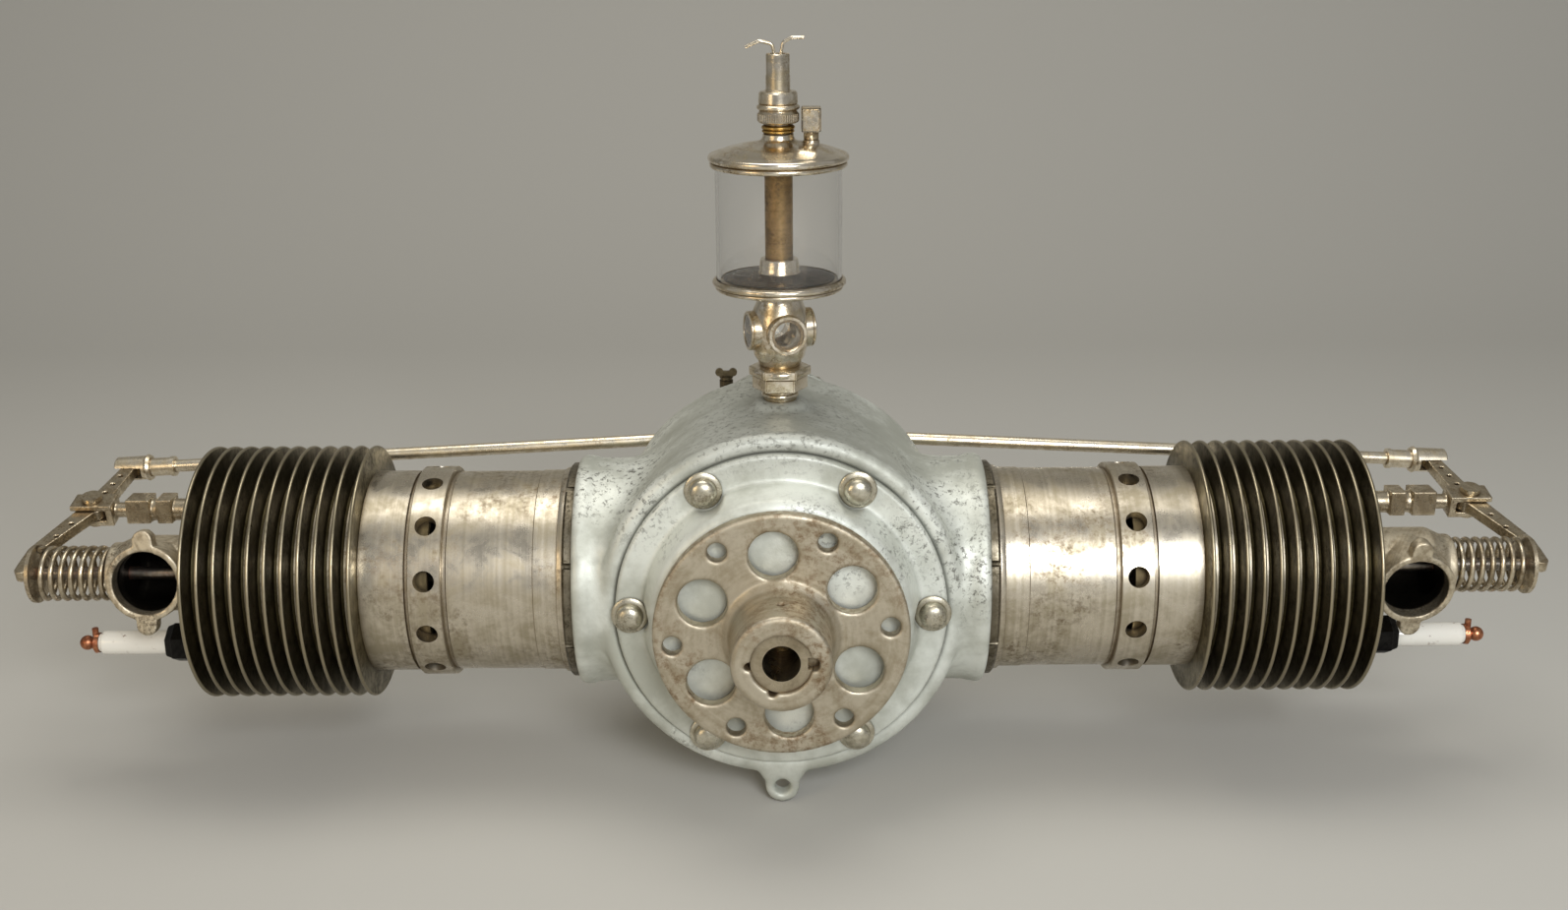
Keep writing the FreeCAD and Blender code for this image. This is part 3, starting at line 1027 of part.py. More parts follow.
def all_pieces():
    """Every piece, by node name."""
    inlet_base = V(HEAD_FACE + 50, IN_Y, IN_Z)
    pieces = {
        "crankcase": make_crankcase(), "front_cover": make_front_cover(),
        "front_cover_bolts": make_cover_bolts(), "timing_cover": make_timing_cover(),
        "timing_cover_screws": make_timing_screws(), "bearing_bushes": make_bearing_bushes(),
        "cylinder_lock_rings": make_lock_rings(), "piston_rings": make_piston_rings(),
        "wrist_pins": make_wrist_pins(), "rocker_pins": pair(make_rocker_pin()),
        "spark_plug_bodies": pair(make_plug_body()), "spark_plug_insulators": pair(make_plug_insulator()),
        "spark_plug_terminals": pair(make_plug_terminal()),
        "crankshaft": make_crankshaft(), "propeller_hub": make_hub(), "hub_key": make_hub_key(),
        "crank_gear": make_crank_gear(), "cam_gear": make_cam_gear(), "camshaft": make_camshaft(),
        "oiler_body": make_oiler_body(), "sight_glasses": make_sight_glasses(),
        "oiler_glass": make_oiler_glass(), "oiler_tube": make_oiler_tube(), "oiler_lid": make_oiler_lid(),
        "oiler_nut": make_oiler_nut(), "oiler_needle": make_oiler_needle(), "snap_lever": make_snap_lever(),
        "filler_cap": make_filler_cap(), "breather_cock_body": make_cock_body(),
        "breather_cock_handle": make_cock_handle(),
    }
    for side, name in ((1, "right"), (-1, "left")):
        rod_y = -ROD_Y if side > 0 else ROD_Y
        one_side = {
            "cylinder": make_cylinder(), "piston": make_piston(), "connecting_rod": make_rod(rod_y),
            "big_end": make_big_end(rod_y), "exhaust_cage": make_exhaust_cage(side),
            "inlet_cage": make_inlet_cage(), "rocker_bracket": make_rocker_bracket(),
            "exhaust_valve": make_exhaust_valve(), "exhaust_retainer": make_exhaust_retainer(),
            "exhaust_spring": coil(SPRING_R, SPRING_WIRE, SPRING_END - SPRING_SEAT - 0.4, SPRING_TURNS,
                                   V(SPRING_SEAT + 0.2, EX_Y, EX_Z), X),
            "inlet_valve": make_inlet_valve(),
            "inlet_spring": coil(6.6, 0.9, 23.6, 6.0, inlet_base + X * 0.2, X),
            "rocker": make_rocker(), "tappet": make_tappet(), "pushrod": make_pushrod(),
        }
        for piece, shape in one_side.items():
            pieces[piece + "_" + name] = for_side(shape, side)
    return pieces


def main():
    """Write one STEP file per piece."""
    os.makedirs("parts", exist_ok=True)
    for name, shape in sorted(all_pieces().items()):
        if not shape.isValid():
            print("not valid:", name)
        print(f"{name:26s} solids {len(shape.Solids):2d}  volume {shape.Volume / 1000:9.2f} cm3")
        shape.exportStep("parts/" + name + ".step")


main()
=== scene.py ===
"""Looks of an air-cooled flat twin aircraft engine, dressed over its packed construction.

Everything is in metres in the frame of the construction: +X along the right cylinder,
-Y towards the propeller, +Z up towards the oiler.
"""

import logging
import math
from dataclasses import dataclass
from enum import Enum

import bmesh
import bpy
import numpy as np
from mathutils import Matrix, Vector


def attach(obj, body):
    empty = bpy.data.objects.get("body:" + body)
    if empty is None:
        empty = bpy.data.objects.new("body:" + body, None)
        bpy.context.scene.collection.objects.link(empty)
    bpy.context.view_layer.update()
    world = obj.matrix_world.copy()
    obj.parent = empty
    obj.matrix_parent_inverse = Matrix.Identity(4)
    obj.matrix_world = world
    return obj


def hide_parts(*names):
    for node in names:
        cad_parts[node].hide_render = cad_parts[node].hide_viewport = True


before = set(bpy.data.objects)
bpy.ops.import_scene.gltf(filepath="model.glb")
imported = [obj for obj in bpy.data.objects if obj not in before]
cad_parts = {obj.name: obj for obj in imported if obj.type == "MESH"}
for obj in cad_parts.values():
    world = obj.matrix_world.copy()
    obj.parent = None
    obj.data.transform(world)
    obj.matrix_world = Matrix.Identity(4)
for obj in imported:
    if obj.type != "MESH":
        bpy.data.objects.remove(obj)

LOG = logging.getLogger("flat_twin")
MM = 0.001
SIDES = (("right", 1), ("left", -1))
SHARP = 32.0  # edges steeper than this many degrees stay crisp
HEAD_FACE = 398.7  # outer end of a head, in millimetres from the crank axis
EXHAUST_AT, INLET_AT, PLUG_AT = (-28.0, 10.0), (32.0, -10.0), (-12.0, -49.0)  # y and z of each in the head
NODES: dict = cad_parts

Tree = bpy.types.NodeTree
Node = bpy.types.Node
Socket = bpy.types.NodeSocket
Object = bpy.types.Object
Mesh = bpy.types.Mesh

NOISE, MAP, MIX, MATH = "ShaderNodeTexNoise", "ShaderNodeMapRange", "ShaderNodeMix", "ShaderNodeMath"
SMOOTH = {"interpolation_type": "SMOOTHSTEP"}
RGBA = {"data_type": "RGBA"}
TIMES, PLUS, MINUS, HIGHEST, ROOT, POSITIVE = ({"operation": how} for how in (
    "MULTIPLY", "ADD", "SUBTRACT", "MAXIMUM", "SQRT", "ABSOLUTE"))


# ------------------------------------------------------------------------------------------
# small tools
# ------------------------------------------------------------------------------------------
def linear(code: str) -> tuple[float, float, float, float]:
    """Turn an sRGB hex colour into linear RGBA.

    Args:
        code: Six hex digits with a leading hash.

    Returns:
        The linear red, green and blue, and full opacity.
    """
    parts = [int(code[i:i + 2], 16) / 255 for i in (1, 3, 5)]
    red, green, blue = (p / 12.92 if p <= 0.04045 else ((p + 0.055) / 1.055) ** 2.4 for p in parts)
    return red, green, blue, 1.0


def put(tree: Tree, kind: str, links: dict | None = None, **settings) -> Node:
    """Add one node, set it up and link it.

    Args:
        tree: The node tree that gets the node.
        kind: The node's type name.
        links: Input name or number to a value, an output socket, or a node whose first output feeds it.
        settings: The node's own properties.

    Returns:
        The new node.
    """
    node = tree.nodes.new(kind)
    for name, value in settings.items():
        setattr(node, name, value)
    for key, value in (links or {}).items():
        if isinstance(value, Node):
            value = value.outputs[0]
        if isinstance(value, Socket):
            tree.links.new(value, node.inputs[key])
        else:
            node.inputs[key].default_value = value
    return node


def per_mm(size: float) -> float:
    """The texture scale that gives features of about this many millimetres."""
    return 1.0 / (size * MM)


class Axis(Enum):
    """The lathe or grain axis of a piece."""

    X = "X"
    Y = "Y"
    Z = "Z"


def turned(profile: list[tuple[float, float]], segments: int = 96) -> bmesh.types.BMesh:
    """Turn a closed profile round the Z axis.

    Args:
        profile: (height, radius) points in millimetres, in order round the section.
        segments: Number of facets round the axis.

    Returns:
        A mesh in metres with its poles closed.
    """
    bm = bmesh.new()
    rings = []
    for height, radius in profile:
        if radius < 1e-6:
            rings.append([bm.verts.new((0.0, 0.0, height * MM))] * segments)
            continue
        angles = [2 * math.pi * k / segments for k in range(segments)]
        rings.append([bm.verts.new((radius * MM * math.cos(t), radius * MM * math.sin(t), height * MM))
                      for t in angles])
    for low, high in zip(rings, rings[1:] + rings[:1]):
        for k in range(segments):
            n = (k + 1) % segments
            corners = list(dict.fromkeys((low[k], low[n], high[n], high[k])))
            if len(corners) > 2:
                bm.faces.new(corners)
    bmesh.ops.recalc_face_normals(bm, faces=bm.faces)
    return bm


def arc(height: float, radius: float, size: float, start: float, stop: float,
        steps: int = 8) -> list[tuple[float, float]]:
    """Points of a round bead or hollow in a lathe profile, angles in degrees from straight out."""
    turns = [math.radians(start + (stop - start) * k / steps) for k in range(steps + 1)]
    return [(height + size * math.sin(t), radius + size * math.cos(t)) for t in turns]


def along(axis: Axis, at: tuple[float, float, float], sign: int = 1) -> Matrix:
    """The matrix that stands a piece drawn on +Z onto an axis at a place in millimetres."""
    turn = {Axis.X: Matrix.Rotation(math.radians(90 * sign), 4, "Y"),
            Axis.Y: Matrix.Rotation(math.radians(-90 * sign), 4, "X"),
            Axis.Z: Matrix.Identity(4) if sign > 0 else Matrix.Rotation(math.pi, 4, "X")}[axis]
    return Matrix.Translation(Vector(at) * MM) @ turn


def as_mesh(name: str, bm: bmesh.types.BMesh) -> Mesh:
    """Turn an edit mesh, which it consumes, into a mesh."""
    mesh = bpy.data.meshes.new(name)
    bm.to_mesh(mesh)
    bm.free()
    return mesh


def linked(name: str, data: bpy.types.ID) -> Object:
    """Make an object and put it in the scene."""
    made = bpy.data.objects.new(name, data)
    bpy.context.scene.collection.objects.link(made)
    return made


def smoothed(mesh: Mesh) -> None:
    """Shade a mesh smooth but for its steep edges."""
    mesh.shade_smooth()
    mesh.set_sharp_from_angle(angle=math.radians(SHARP))


def piece(name: str, source: bmesh.types.BMesh | Mesh, place: Matrix | None = None) -> Object:
    """Make an object at the origin, with its place in its mesh.

    Args:
        name: The object's name.
        source: The mesh, consumed.
        place: Where the mesh goes.

    Returns:
        The new object, smooth shaded.
    """
    mesh = as_mesh(name, source) if isinstance(source, bmesh.types.BMesh) else source
    mesh.name = name
    if place is not None:
        mesh.transform(place)
    smoothed(mesh)
    return linked(name, mesh)


def evaluated(source: Object) -> Mesh:
    """The mesh of an object with its modifiers applied."""
    graph = bpy.context.evaluated_depsgraph_get()
    graph.update()
    return bpy.data.meshes.new_from_object(source.evaluated_get(graph), depsgraph=graph)


def settled(made: Object) -> Object:
    """Apply an object's modifiers."""
    mesh = evaluated(made)
    made.modifiers.clear()
    old, made.data = made.data, mesh
    bpy.data.meshes.remove(old)
    return made


def cut(body: Object, tool: Object, how: str = "DIFFERENCE") -> Object:
    """Cut or join one object with another and drop the tool."""
    change = body.modifiers.new("cut", "BOOLEAN")
    change.object = tool
    change.operation = how
    change.solver = "EXACT"
    settled(body)
    bpy.data.objects.remove(tool)
    return body


def joined(name: str, parts: list[Object]) -> Object:
    """Join objects into the first one and rename it."""
    with bpy.context.temp_override(active_object=parts[0], object=parts[0], selected_objects=parts,
                                   selected_editable_objects=parts):
        bpy.ops.object.join()
    parts[0].name = name
    return parts[0]


def relaxed(mesh: Mesh, rounds: int, weight: "np.ndarray | float" = 1.0) -> None:
    """Smooth a mesh by moving each vertex towards the mean of its neighbours.

    Args:
        mesh: The mesh, changed in place.
        rounds: How many times.
        weight: One number or one per vertex, from 0 to 1.
    """
    count = len(mesh.vertices)
    places = np.zeros(count * 3)
    mesh.vertices.foreach_get("co", places)
    places = places.reshape(-1, 3)
    ends = np.zeros(len(mesh.edges) * 2, np.int64)
    mesh.edges.foreach_get("vertices", ends)
    first, second = ends.reshape(-1, 2).T
    degree = np.maximum(np.bincount(ends, minlength=count), 1)[:, None]
    share = 0.5 * (weight[:, None] if isinstance(weight, np.ndarray) else weight)
    for _ in range(rounds):
        total = np.stack([np.bincount(first, places[second, a], count)
                          + np.bincount(second, places[first, a], count) for a in range(3)], 1)
        places = places + share * (total / degree - places)
    mesh.vertices.foreach_set("co", places.ravel())
    mesh.update()


def softened(node: str, voxel: float, rounds: int) -> Object:
    """A copy of a construction node with the rounded edges of a casting or a worn forging.

    Args:
        node: The node to copy.
        voxel: Size of the new facets in millimetres.
        rounds: How strongly edges are rounded.

    Returns:
        The new object, which stands for the node.
    """
    bm = bmesh.new()
    bm.from_mesh(NODES[node].data)
    bmesh.ops.remove_doubles(bm, verts=bm.verts, dist=0.002 * MM)
    made = piece(node + "_finished", bm)
    made.data.materials.clear()
    remesh = made.modifiers.new("skin", "REMESH")
    remesh.mode = "VOXEL"
    remesh.voxel_size = voxel * MM
    remesh.use_smooth_shade = True
    settled(made)
    relaxed(made.data, rounds)
    made.data.shade_smooth()
    return made


def stand_for(made: Object, finish: "Finish | None", body: str, *nodes: str) -> Object:
    """Give a piece its finish, unless it has its own, set it on its body and let it stand for nodes."""
    if finish:
        PAINT.coat(made, finish)
    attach(made, body)
    if nodes:
        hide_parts(*nodes)
    LOG.info("%s: %d faces", made.name, len(made.data.polygons))
    return made


def grown(tree: Tree, name: str, inputs: dict[str, float], seed: Mesh | None = None,
          place: Matrix | None = None) -> Object:
    """Run a geometry tree and keep its result as a plain object.

    Args:
        tree: The geometry tree.
        name: The new object's name.
        inputs: Input name to value.
        seed: The mesh that goes into the tree.
        place: Where the result goes.

    Returns:
        An object with a plain mesh and no modifier.
    """
    holder = linked(name + "_seed", seed or bpy.data.meshes.new(name + "_seed"))
    change = holder.modifiers.new("grow", "NODES")
    change.node_group = tree
    for item in tree.interface.items_tree:
        if item.in_out == "INPUT" and item.name in inputs:
            change[item.identifier] = inputs[item.name]
    mesh = evaluated(holder)
    bpy.data.objects.remove(holder)
    return piece(name, mesh, place)


def new_tree(name: str, **inputs: int | float) -> tuple[Tree, bpy.types.NodeOutputs]:
    """Start a geometry tree.

    Args:
        name: The tree's name.
        inputs: Input name to default, whole for a count.

    Returns:
        The tree and the sockets that hand out its inputs.
    """
    tree = bpy.data.node_groups.new(name, "GeometryNodeTree")
    for way in ("INPUT", "OUTPUT"):
        tree.interface.new_socket("Geometry", in_out=way, socket_type="NodeSocketGeometry")
    for label, value in inputs.items():
        kind = "NodeSocketInt" if isinstance(value, int) else "NodeSocketFloat"
        tree.interface.new_socket(label, in_out="INPUT", socket_type=kind).default_value = value
    return tree, put(tree, "NodeGroupInput").outputs


def close_tree(tree: Tree, shape: Node, finish: "Finish") -> Tree:
    """End a geometry tree in Realize Instances and Set Material."""
    real = put(tree, "GeometryNodeRealizeInstances", {"Geometry": shape})
    painted = put(tree, "GeometryNodeSetMaterial", {"Geometry": real, "Material": PAINT.get(finish)})
    put(tree, "NodeGroupOutput", {"Geometry": painted})
    return tree


def far(tree: Tree, first: Node | Socket, second: Node | Socket) -> Node:
    """The length of two offsets at right angles."""
    square = [put(tree, MATH, {0: n, 1: n}, **TIMES) for n in (first, second)]
    return put(tree, MATH, {0: put(tree, MATH, {0: square[0], 1: square[1]}, **PLUS)}, **ROOT)


# ------------------------------------------------------------------------------------------
# finishes
# ------------------------------------------------------------------------------------------
@dataclass(frozen=True)
class Finish:
    """What every finish shares: its name, and how its material starts."""

    name: str

    def start(self) -> tuple[Tree, Node, Socket, bpy.types.Material]:
        """Make an empty material.

        Returns:
            The node tree, its shader, the object coordinates and the material.
        """
        material = bpy.data.materials.new(self.name)
        material.use_nodes = True
        tree = material.node_tree
        tree.nodes.clear()
        shader = put(tree, "ShaderNodeBsdfPrincipled")
        put(tree, "ShaderNodeOutputMaterial", {"Surface": shader})
        return tree, shader, put(tree, "ShaderNodeTexCoord").outputs["Object"], material

    def finish(self, tree: Tree, shader: Node, relief: Node, depth: float,
               links: dict[str, Node | Socket]) -> None:
        """Feed the shader, with a relief of depth millimetres."""
        links["Normal"] = put(tree, "ShaderNodeBump", {"Height": relief, "Distance": depth * MM,
                                                       "Strength": 1.0})
        for name, value in links.items():
            tree.links.new(value if isinstance(value, Socket) else value.outputs[0], shader.inputs[name])


@dataclass(frozen=True)
class CastAluminium(Finish):
    """Sand-cast aluminium: pale grey, granular skin, dark oily stains where oil and dust settle, and painted
    shade in the creases and on the crown of the drum.
    """

    light: str = "#DDE0D8"
    dull: str = "#B3B5AA"
    stain: str = "#3E3A31"
    crown_shade: str = "#7F8078"
    grain_mm: float = 1.1
    grain_depth: float = 0.11
    metallic: float = 0.45
    crevice_shade_mm: float = 5.0

    def build(self) -> bpy.types.Material:
        """Make the material."""
        tree, shader, place, material = self.start()
        parts = put(tree, "ShaderNodeSeparateXYZ", {"Vector": place}).outputs
        broad = put(tree, NOISE, {"Vector": place, "Scale": per_mm(60), "Detail": 5, "Roughness": 0.62})
        shade = put(tree, MAP, {0: broad, 1: 0.36, 2: 0.64}, **SMOOTH)
        colour = put(tree, MIX, {0: shade, 6: linear(self.dull), 7: linear(self.light)}, **RGBA).outputs[2]
        spots = put(tree, NOISE, {"Vector": place, "Scale": per_mm(14), "Detail": 7, "Roughness": 0.72,
                                  "Distortion": 0.4})
        fine = put(tree, NOISE, {"Vector": place, "Scale": per_mm(4), "Detail": 6, "Roughness": 0.8,
                                 "Distortion": 0.3})
        specks = put(tree, MAP, {0: fine, 1: 0.52, 2: 0.60}, **SMOOTH)
        # the shoulders over the necks and the crown of the drum gather the most dirt
        reach = put(tree, MATH, {0: parts["X"]}, **POSITIVE)
        out = put(tree, MAP, {0: reach, 1: 0.055, 2: 0.095}, **SMOOTH)
        up = put(tree, MAP, {0: parts["Z"], 1: 0.035, 2: 0.075}, **SMOOTH)
        crown = put(tree, MAP, {0: parts["Z"], 1: 0.085, 2: 0.118}, **SMOOTH)
        zone = put(tree, MATH, {0: put(tree, MATH, {0: out, 1: up}, **TIMES),
                                1: put(tree, MATH, {0: crown, 1: 0.7}, **TIMES)}, **HIGHEST)
        cloud = put(tree, NOISE, {"Vector": place, "Scale": per_mm(95), "Detail": 3, "Roughness": 0.5})
        blot = put(tree, MAP, {0: cloud, 1: 0.52, 2: 0.68}, **SMOOTH)
        settled_dirt = put(tree, MATH, {0: zone, 1: put(tree, MAP, {0: broad, 1: 0.38, 2: 0.55}, **SMOOTH)},
                           **TIMES)
        blot = put(tree, MATH, {0: blot, 1: settled_dirt}, **HIGHEST)
        spotty = put(tree, MAP, {0: spots, 1: 0.58, 2: 0.72}, **SMOOTH)
        marks = put(tree, MATH, {0: spotty, 1: specks}, **HIGHEST)
        dirt = put(tree, MATH, {0: put(tree, MATH, {0: marks, 1: blot}, **TIMES), 1: 0.8}, **TIMES)
        # painted shade: ambient occlusion darkens the creases with the stain colour, added to the real dirt
        # marks
        corner = put(tree, "ShaderNodeAmbientOcclusion", {"Distance": self.crevice_shade_mm * MM}, samples=4)
        crease_shade = put(tree, MAP, {0: corner.outputs["AO"], 1: 0.35, 2: 0.85, 3: 0.45, 4: 0.0}, **SMOOTH)
        marks_and_crease_shade = put(tree, MATH, {0: dirt, 1: crease_shade}, **HIGHEST)
        # painted shade: the crown of the drum is tinted darker grey, standing in for the dimmer light on its
        # top
        top = put(tree, MATH, {0: crown, 1: 0.45}, **TIMES)
        crown_shaded = put(tree, MIX, {0: top, 6: colour, 7: linear(self.crown_shade)}, **RGBA).outputs[2]
        colour = put(tree, MIX, {0: marks_and_crease_shade, 6: crown_shaded, 7: linear(self.stain)}, **RGBA).outputs[2]
        shader.inputs["Metallic"].default_value = self.metallic
        rough = put(tree, MAP, {0: spots, 1: 0.3, 2: 0.75, 3: 0.46, 4: 0.62}, **SMOOTH)
        grain = put(tree, NOISE, {"Vector": place, "Scale": per_mm(self.grain_mm), "Detail": 3,
                                  "Roughness": 0.6})
        sand = put(tree, NOISE, {"Vector": place, "Scale": per_mm(4.5), "Detail": 5, "Roughness": 0.8})
        pits = put(tree, MAP, {0: sand, 1: 0.62, 2: 0.78, 3: 0.0, 4: -1.6}, **SMOOTH)
        relief = put(tree, MATH, {0: grain, 1: pits}, **PLUS)
        self.finish(tree, shader, relief, self.grain_depth, {"Base Color": colour, "Roughness": rough})
        return material


@dataclass(frozen=True)
class TurnedMetal(Finish):
    """Bare metal off the lathe: fine rings about one axis, patchy brown stains, and painted shade in the
    corners, which are also made rougher.
    """

    bright: str = "#D8CFBE"
    dull: str = "#B3A993"
    stain: str = "#6E5C42"
    axis: Axis = Axis.X
    ring_mm: float = 0.9
    ring_depth_mm: float = 0.02
    rough_low: float = 0.22
    rough_high: float = 0.46
    stain_mm: float = 22.0
    stain_share: float = 0.45
    metallic: float = 1.0
    crease_shade_mm: float = 5.0

    def worn(self, tree: Tree, parts: bpy.types.NodeOutputs, colour: Socket) -> Socket:
        """Change the colour by place; plain turned metal keeps it."""
        return colour

    def build(self) -> bpy.types.Material:
        """Make the material."""
        tree, shader, place, material = self.start()
        parts = put(tree, "ShaderNodeSeparateXYZ", {"Vector": place}).outputs
        # the sum of distance along and from the axis gives rings on the sides and on the ends
        radius = far(tree, *(parts[a] for a in "XYZ" if a != self.axis.value))
        lathe = put(tree, MATH, {0: parts[self.axis.value], 1: radius}, **PLUS)
        coarse = put(tree, NOISE, {"W": lathe, "Scale": per_mm(self.ring_mm * 3.5), "Detail": 3.0},
                     noise_dimensions="1D")
        patches = put(tree, NOISE, {"Vector": place, "Scale": per_mm(self.stain_mm), "Detail": 6,
                                    "Roughness": 0.66, "Distortion": 0.3})
        tone = put(tree, MATH, {0: put(tree, MATH, {0: patches, 1: 0.8}, **TIMES),
                                1: put(tree, MATH, {0: coarse, 1: 0.2}, **TIMES)}, **PLUS)
        shade = put(tree, MAP, {0: tone, 1: 0.36, 2: 0.60}, **SMOOTH)
        colour = put(tree, MIX, {0: shade, 6: linear(self.dull), 7: linear(self.bright)}, **RGBA).outputs[2]
        spread = put(tree, NOISE, {"Vector": place, "Scale": per_mm(self.stain_mm * 3.2), "Detail": 3,
                                   "Roughness": 0.55})
        fine = put(tree, NOISE, {"Vector": place, "Scale": per_mm(self.stain_mm * 0.25), "Detail": 6,
                                 "Roughness": 0.75})
        share = 0.70 - 0.30 * self.stain_share
        wide = put(tree, MAP, {0: spread, 1: share - 0.14, 2: share + 0.06}, **SMOOTH)
        close = put(tree, MAP, {0: fine, 1: 0.42, 2: 0.66}, **SMOOTH)
        stained = put(tree, MATH, {0: put(tree, MATH, {0: wide, 1: close}, **TIMES), 1: 0.8}, **TIMES)
        # painted shade: ambient occlusion darkens the corners and creases with the stain colour, joined with
        # the real stains
        corner = put(tree, "ShaderNodeAmbientOcclusion", {"Distance": self.crease_shade_mm * MM}, samples=4)
        crease_shade = put(tree, MAP, {0: corner.outputs["AO"], 1: 0.45, 2: 0.92, 3: 0.85, 4: 0.0}, **SMOOTH)
        marks_and_crease_shade = put(tree, MATH, {0: stained, 1: crease_shade}, **HIGHEST)
        colour = put(tree, MIX, {0: marks_and_crease_shade, 6: colour, 7: linear(self.stain)}, **RGBA).outputs[2]
        shader.inputs["Metallic"].default_value = self.metallic
        rough = put(tree, MAP, {0: patches, 1: 0.3, 2: 0.7, 3: self.rough_high, 4: self.rough_low}, **SMOOTH)
        rough = put(tree, MATH, {0: rough, 1: put(tree, MATH, {0: marks_and_crease_shade, 1: 0.22}, **TIMES)}, **PLUS)
        rings = put(tree, NOISE, {"W": lathe, "Scale": per_mm(self.ring_mm), "Detail": 2.0},
                    noise_dimensions="1D")
        relief = put(tree, MATH, {0: rings, 1: put(tree, MATH, {0: fine, 1: 1.2}, **TIMES)}, **PLUS)
        self.finish(tree, shader, relief, self.ring_depth_mm,
                    {"Base Color": self.worn(tree, parts, colour), "Roughness": rough})
        return material


@dataclass(frozen=True)
class FinMetal(TurnedMetal):
    """Oiled fin faces gone olive brown, with rims rubbed bright and lightened further as a painted highlight.
    """

    rim_wear_and_highlight: str = "#A79D86"
    rim_r: float = 86.9

    def worn(self, tree: Tree, parts: bpy.types.NodeOutputs, colour: Socket) -> Socket:
        """Brighten what lies outside the rim radius."""
        radius = far(tree, parts["Y"], parts["Z"])
        # wear and painted highlight: the rims get a lighter colour, for their rubbed metal and for the bright
        # lines of light along them
        rubbed_and_lit = put(tree, MAP, {0: radius, 1: (self.rim_r - 0.7) * MM, 2: (self.rim_r + 0.3) * MM,
                                 3: 0.0, 4: 0.85}, **SMOOTH)
        return put(tree, MIX, {0: rubbed_and_lit, 6: colour, 7: linear(self.rim_wear_and_highlight)}, **RGBA).outputs[2]


@dataclass(frozen=True)
class SootedShadedIron(TurnedMetal):
    """Cream-brown iron whose exhaust passage is painted black, for its soot and for the deep shade inside it.
    """

    mouth: tuple[float, float, float] = (427.0, *EXHAUST_AT)
    mouth_r: float = 21.4
    lean: float = 0.1584
    front_y: float = -0.012
    half_length: float = 0.0225
    soot_and_shade: str = "#0B0A09"

    def worn(self, tree: Tree, parts: bpy.types.NodeOutputs, colour: Socket) -> Socket:
        """Blacken the mouth, whose axis leans opposite ways on the two sides, and the bore behind it."""
        x, y, z = (n * MM for n in self.mouth)
        across = put(tree, MATH, {0: put(tree, MATH, {0: parts["X"]}, **POSITIVE), 1: x}, **MINUS)
        depth = put(tree, MATH, {0: parts["Y"], 1: y}, **MINUS)
        rise = put(tree, MATH, {0: parts["Z"], 1: z}, **MINUS)
        side = put(tree, MATH, {0: parts["X"]}, operation="SIGN")
        slope = put(tree, MATH, {0: put(tree, MATH, {0: depth, 1: self.lean}, **TIMES), 1: side}, **TIMES)
        height = put(tree, MATH, {0: rise, 1: slope}, **MINUS)
        edge = {1: (self.mouth_r - 0.3) * MM, 2: (self.mouth_r + 0.5) * MM, 3: 0.97, 4: 0.0}
        inside, bore = (put(tree, MAP, {0: far(tree, *pair), **edge}, **SMOOTH)
                        for pair in ((across, height), (depth, rise)))
        front = put(tree, MAP, {0: parts["Y"], 1: self.front_y, 2: self.front_y - 0.004}, **SMOOTH)
        near = put(tree, MAP, {0: across, 1: self.half_length, 2: self.half_length - 0.001}, **SMOOTH)
        # painted shade and soot: the inside of the mouth and the bore behind it are made near black
        soot_and_shade_inside = put(tree, MATH, {0: put(tree, MATH, {0: inside, 1: front}, **TIMES),
                                 1: put(tree, MATH, {0: bore, 1: near}, **TIMES)}, **HIGHEST)
        return put(tree, MIX, {0: soot_and_shade_inside, 6: colour, 7: linear(self.soot_and_shade)}, **RGBA).outputs[2]


@dataclass(frozen=True)
class HotStem(TurnedMetal):
    """Valve steel: the mushroom painted black for soot and for the shade deep in the port, the stem grey, its
    tip heated to copper brown.
    """

    at: tuple[float, float] = EXHAUST_AT
    stem_r: float = 5.4
    tip_x: float = 512.0
    soot_and_shade: str = "#100E0C"
    tip: str = "#8A5A45"

    def worn(self, tree: Tree, parts: bpy.types.NodeOutputs, colour: Socket) -> Socket:
        """Blacken outside the stem radius and brown the tip."""
        off = [put(tree, MATH, {0: parts[a], 1: n * MM}, **MINUS) for a, n in zip("YZ", self.at)]
        radius = far(tree, *off)
        # painted shade and soot: all but the stem, deep in the port, is made near black
        soot_and_shade_head = put(tree, MAP, {0: radius, 1: (self.stem_r - 0.5) * MM, 2: (self.stem_r + 0.5) * MM,
                                3: 0.0, 4: 0.95}, **SMOOTH)
        colour = put(tree, MIX, {0: soot_and_shade_head, 6: colour, 7: linear(self.soot_and_shade)}, **RGBA).outputs[2]
        end = put(tree, MAP, {0: put(tree, MATH, {0: parts["X"]}, **POSITIVE), 1: (self.tip_x - 3) * MM,
                              2: self.tip_x * MM}, **SMOOTH)
        return put(tree, MIX, {0: end, 6: colour, 7: linear(self.tip)}, **RGBA).outputs[2]


@dataclass(frozen=True)
class ClearGlass(Finish):
    """Blown clear glass, slightly uneven, with an oily bloom."""

    tint: str = "#FFFFFF"
    ior: float = 1.46

    def build(self) -> bpy.types.Material:
        """Make the material."""
        tree, shader, place, material = self.start()
        shader.inputs["Base Color"].default_value = linear(self.tint)
        shader.inputs["Transmission Weight"].default_value = 1.0
        shader.inputs["IOR"].default_value = self.ior
        smear = put(tree, NOISE, {"Vector": place, "Scale": per_mm(30), "Detail": 4, "Roughness": 0.6})
        bloom = put(tree, MAP, {0: smear, 1: 0.45, 2: 0.75, 3: 0.0, 4: 0.09}, **SMOOTH)
        waves = put(tree, NOISE, {"Vector": place, "Scale": per_mm(18), "Detail": 2, "Roughness": 0.5})
        self.finish(tree, shader, waves, 0.05, {"Roughness": bloom})
        return material


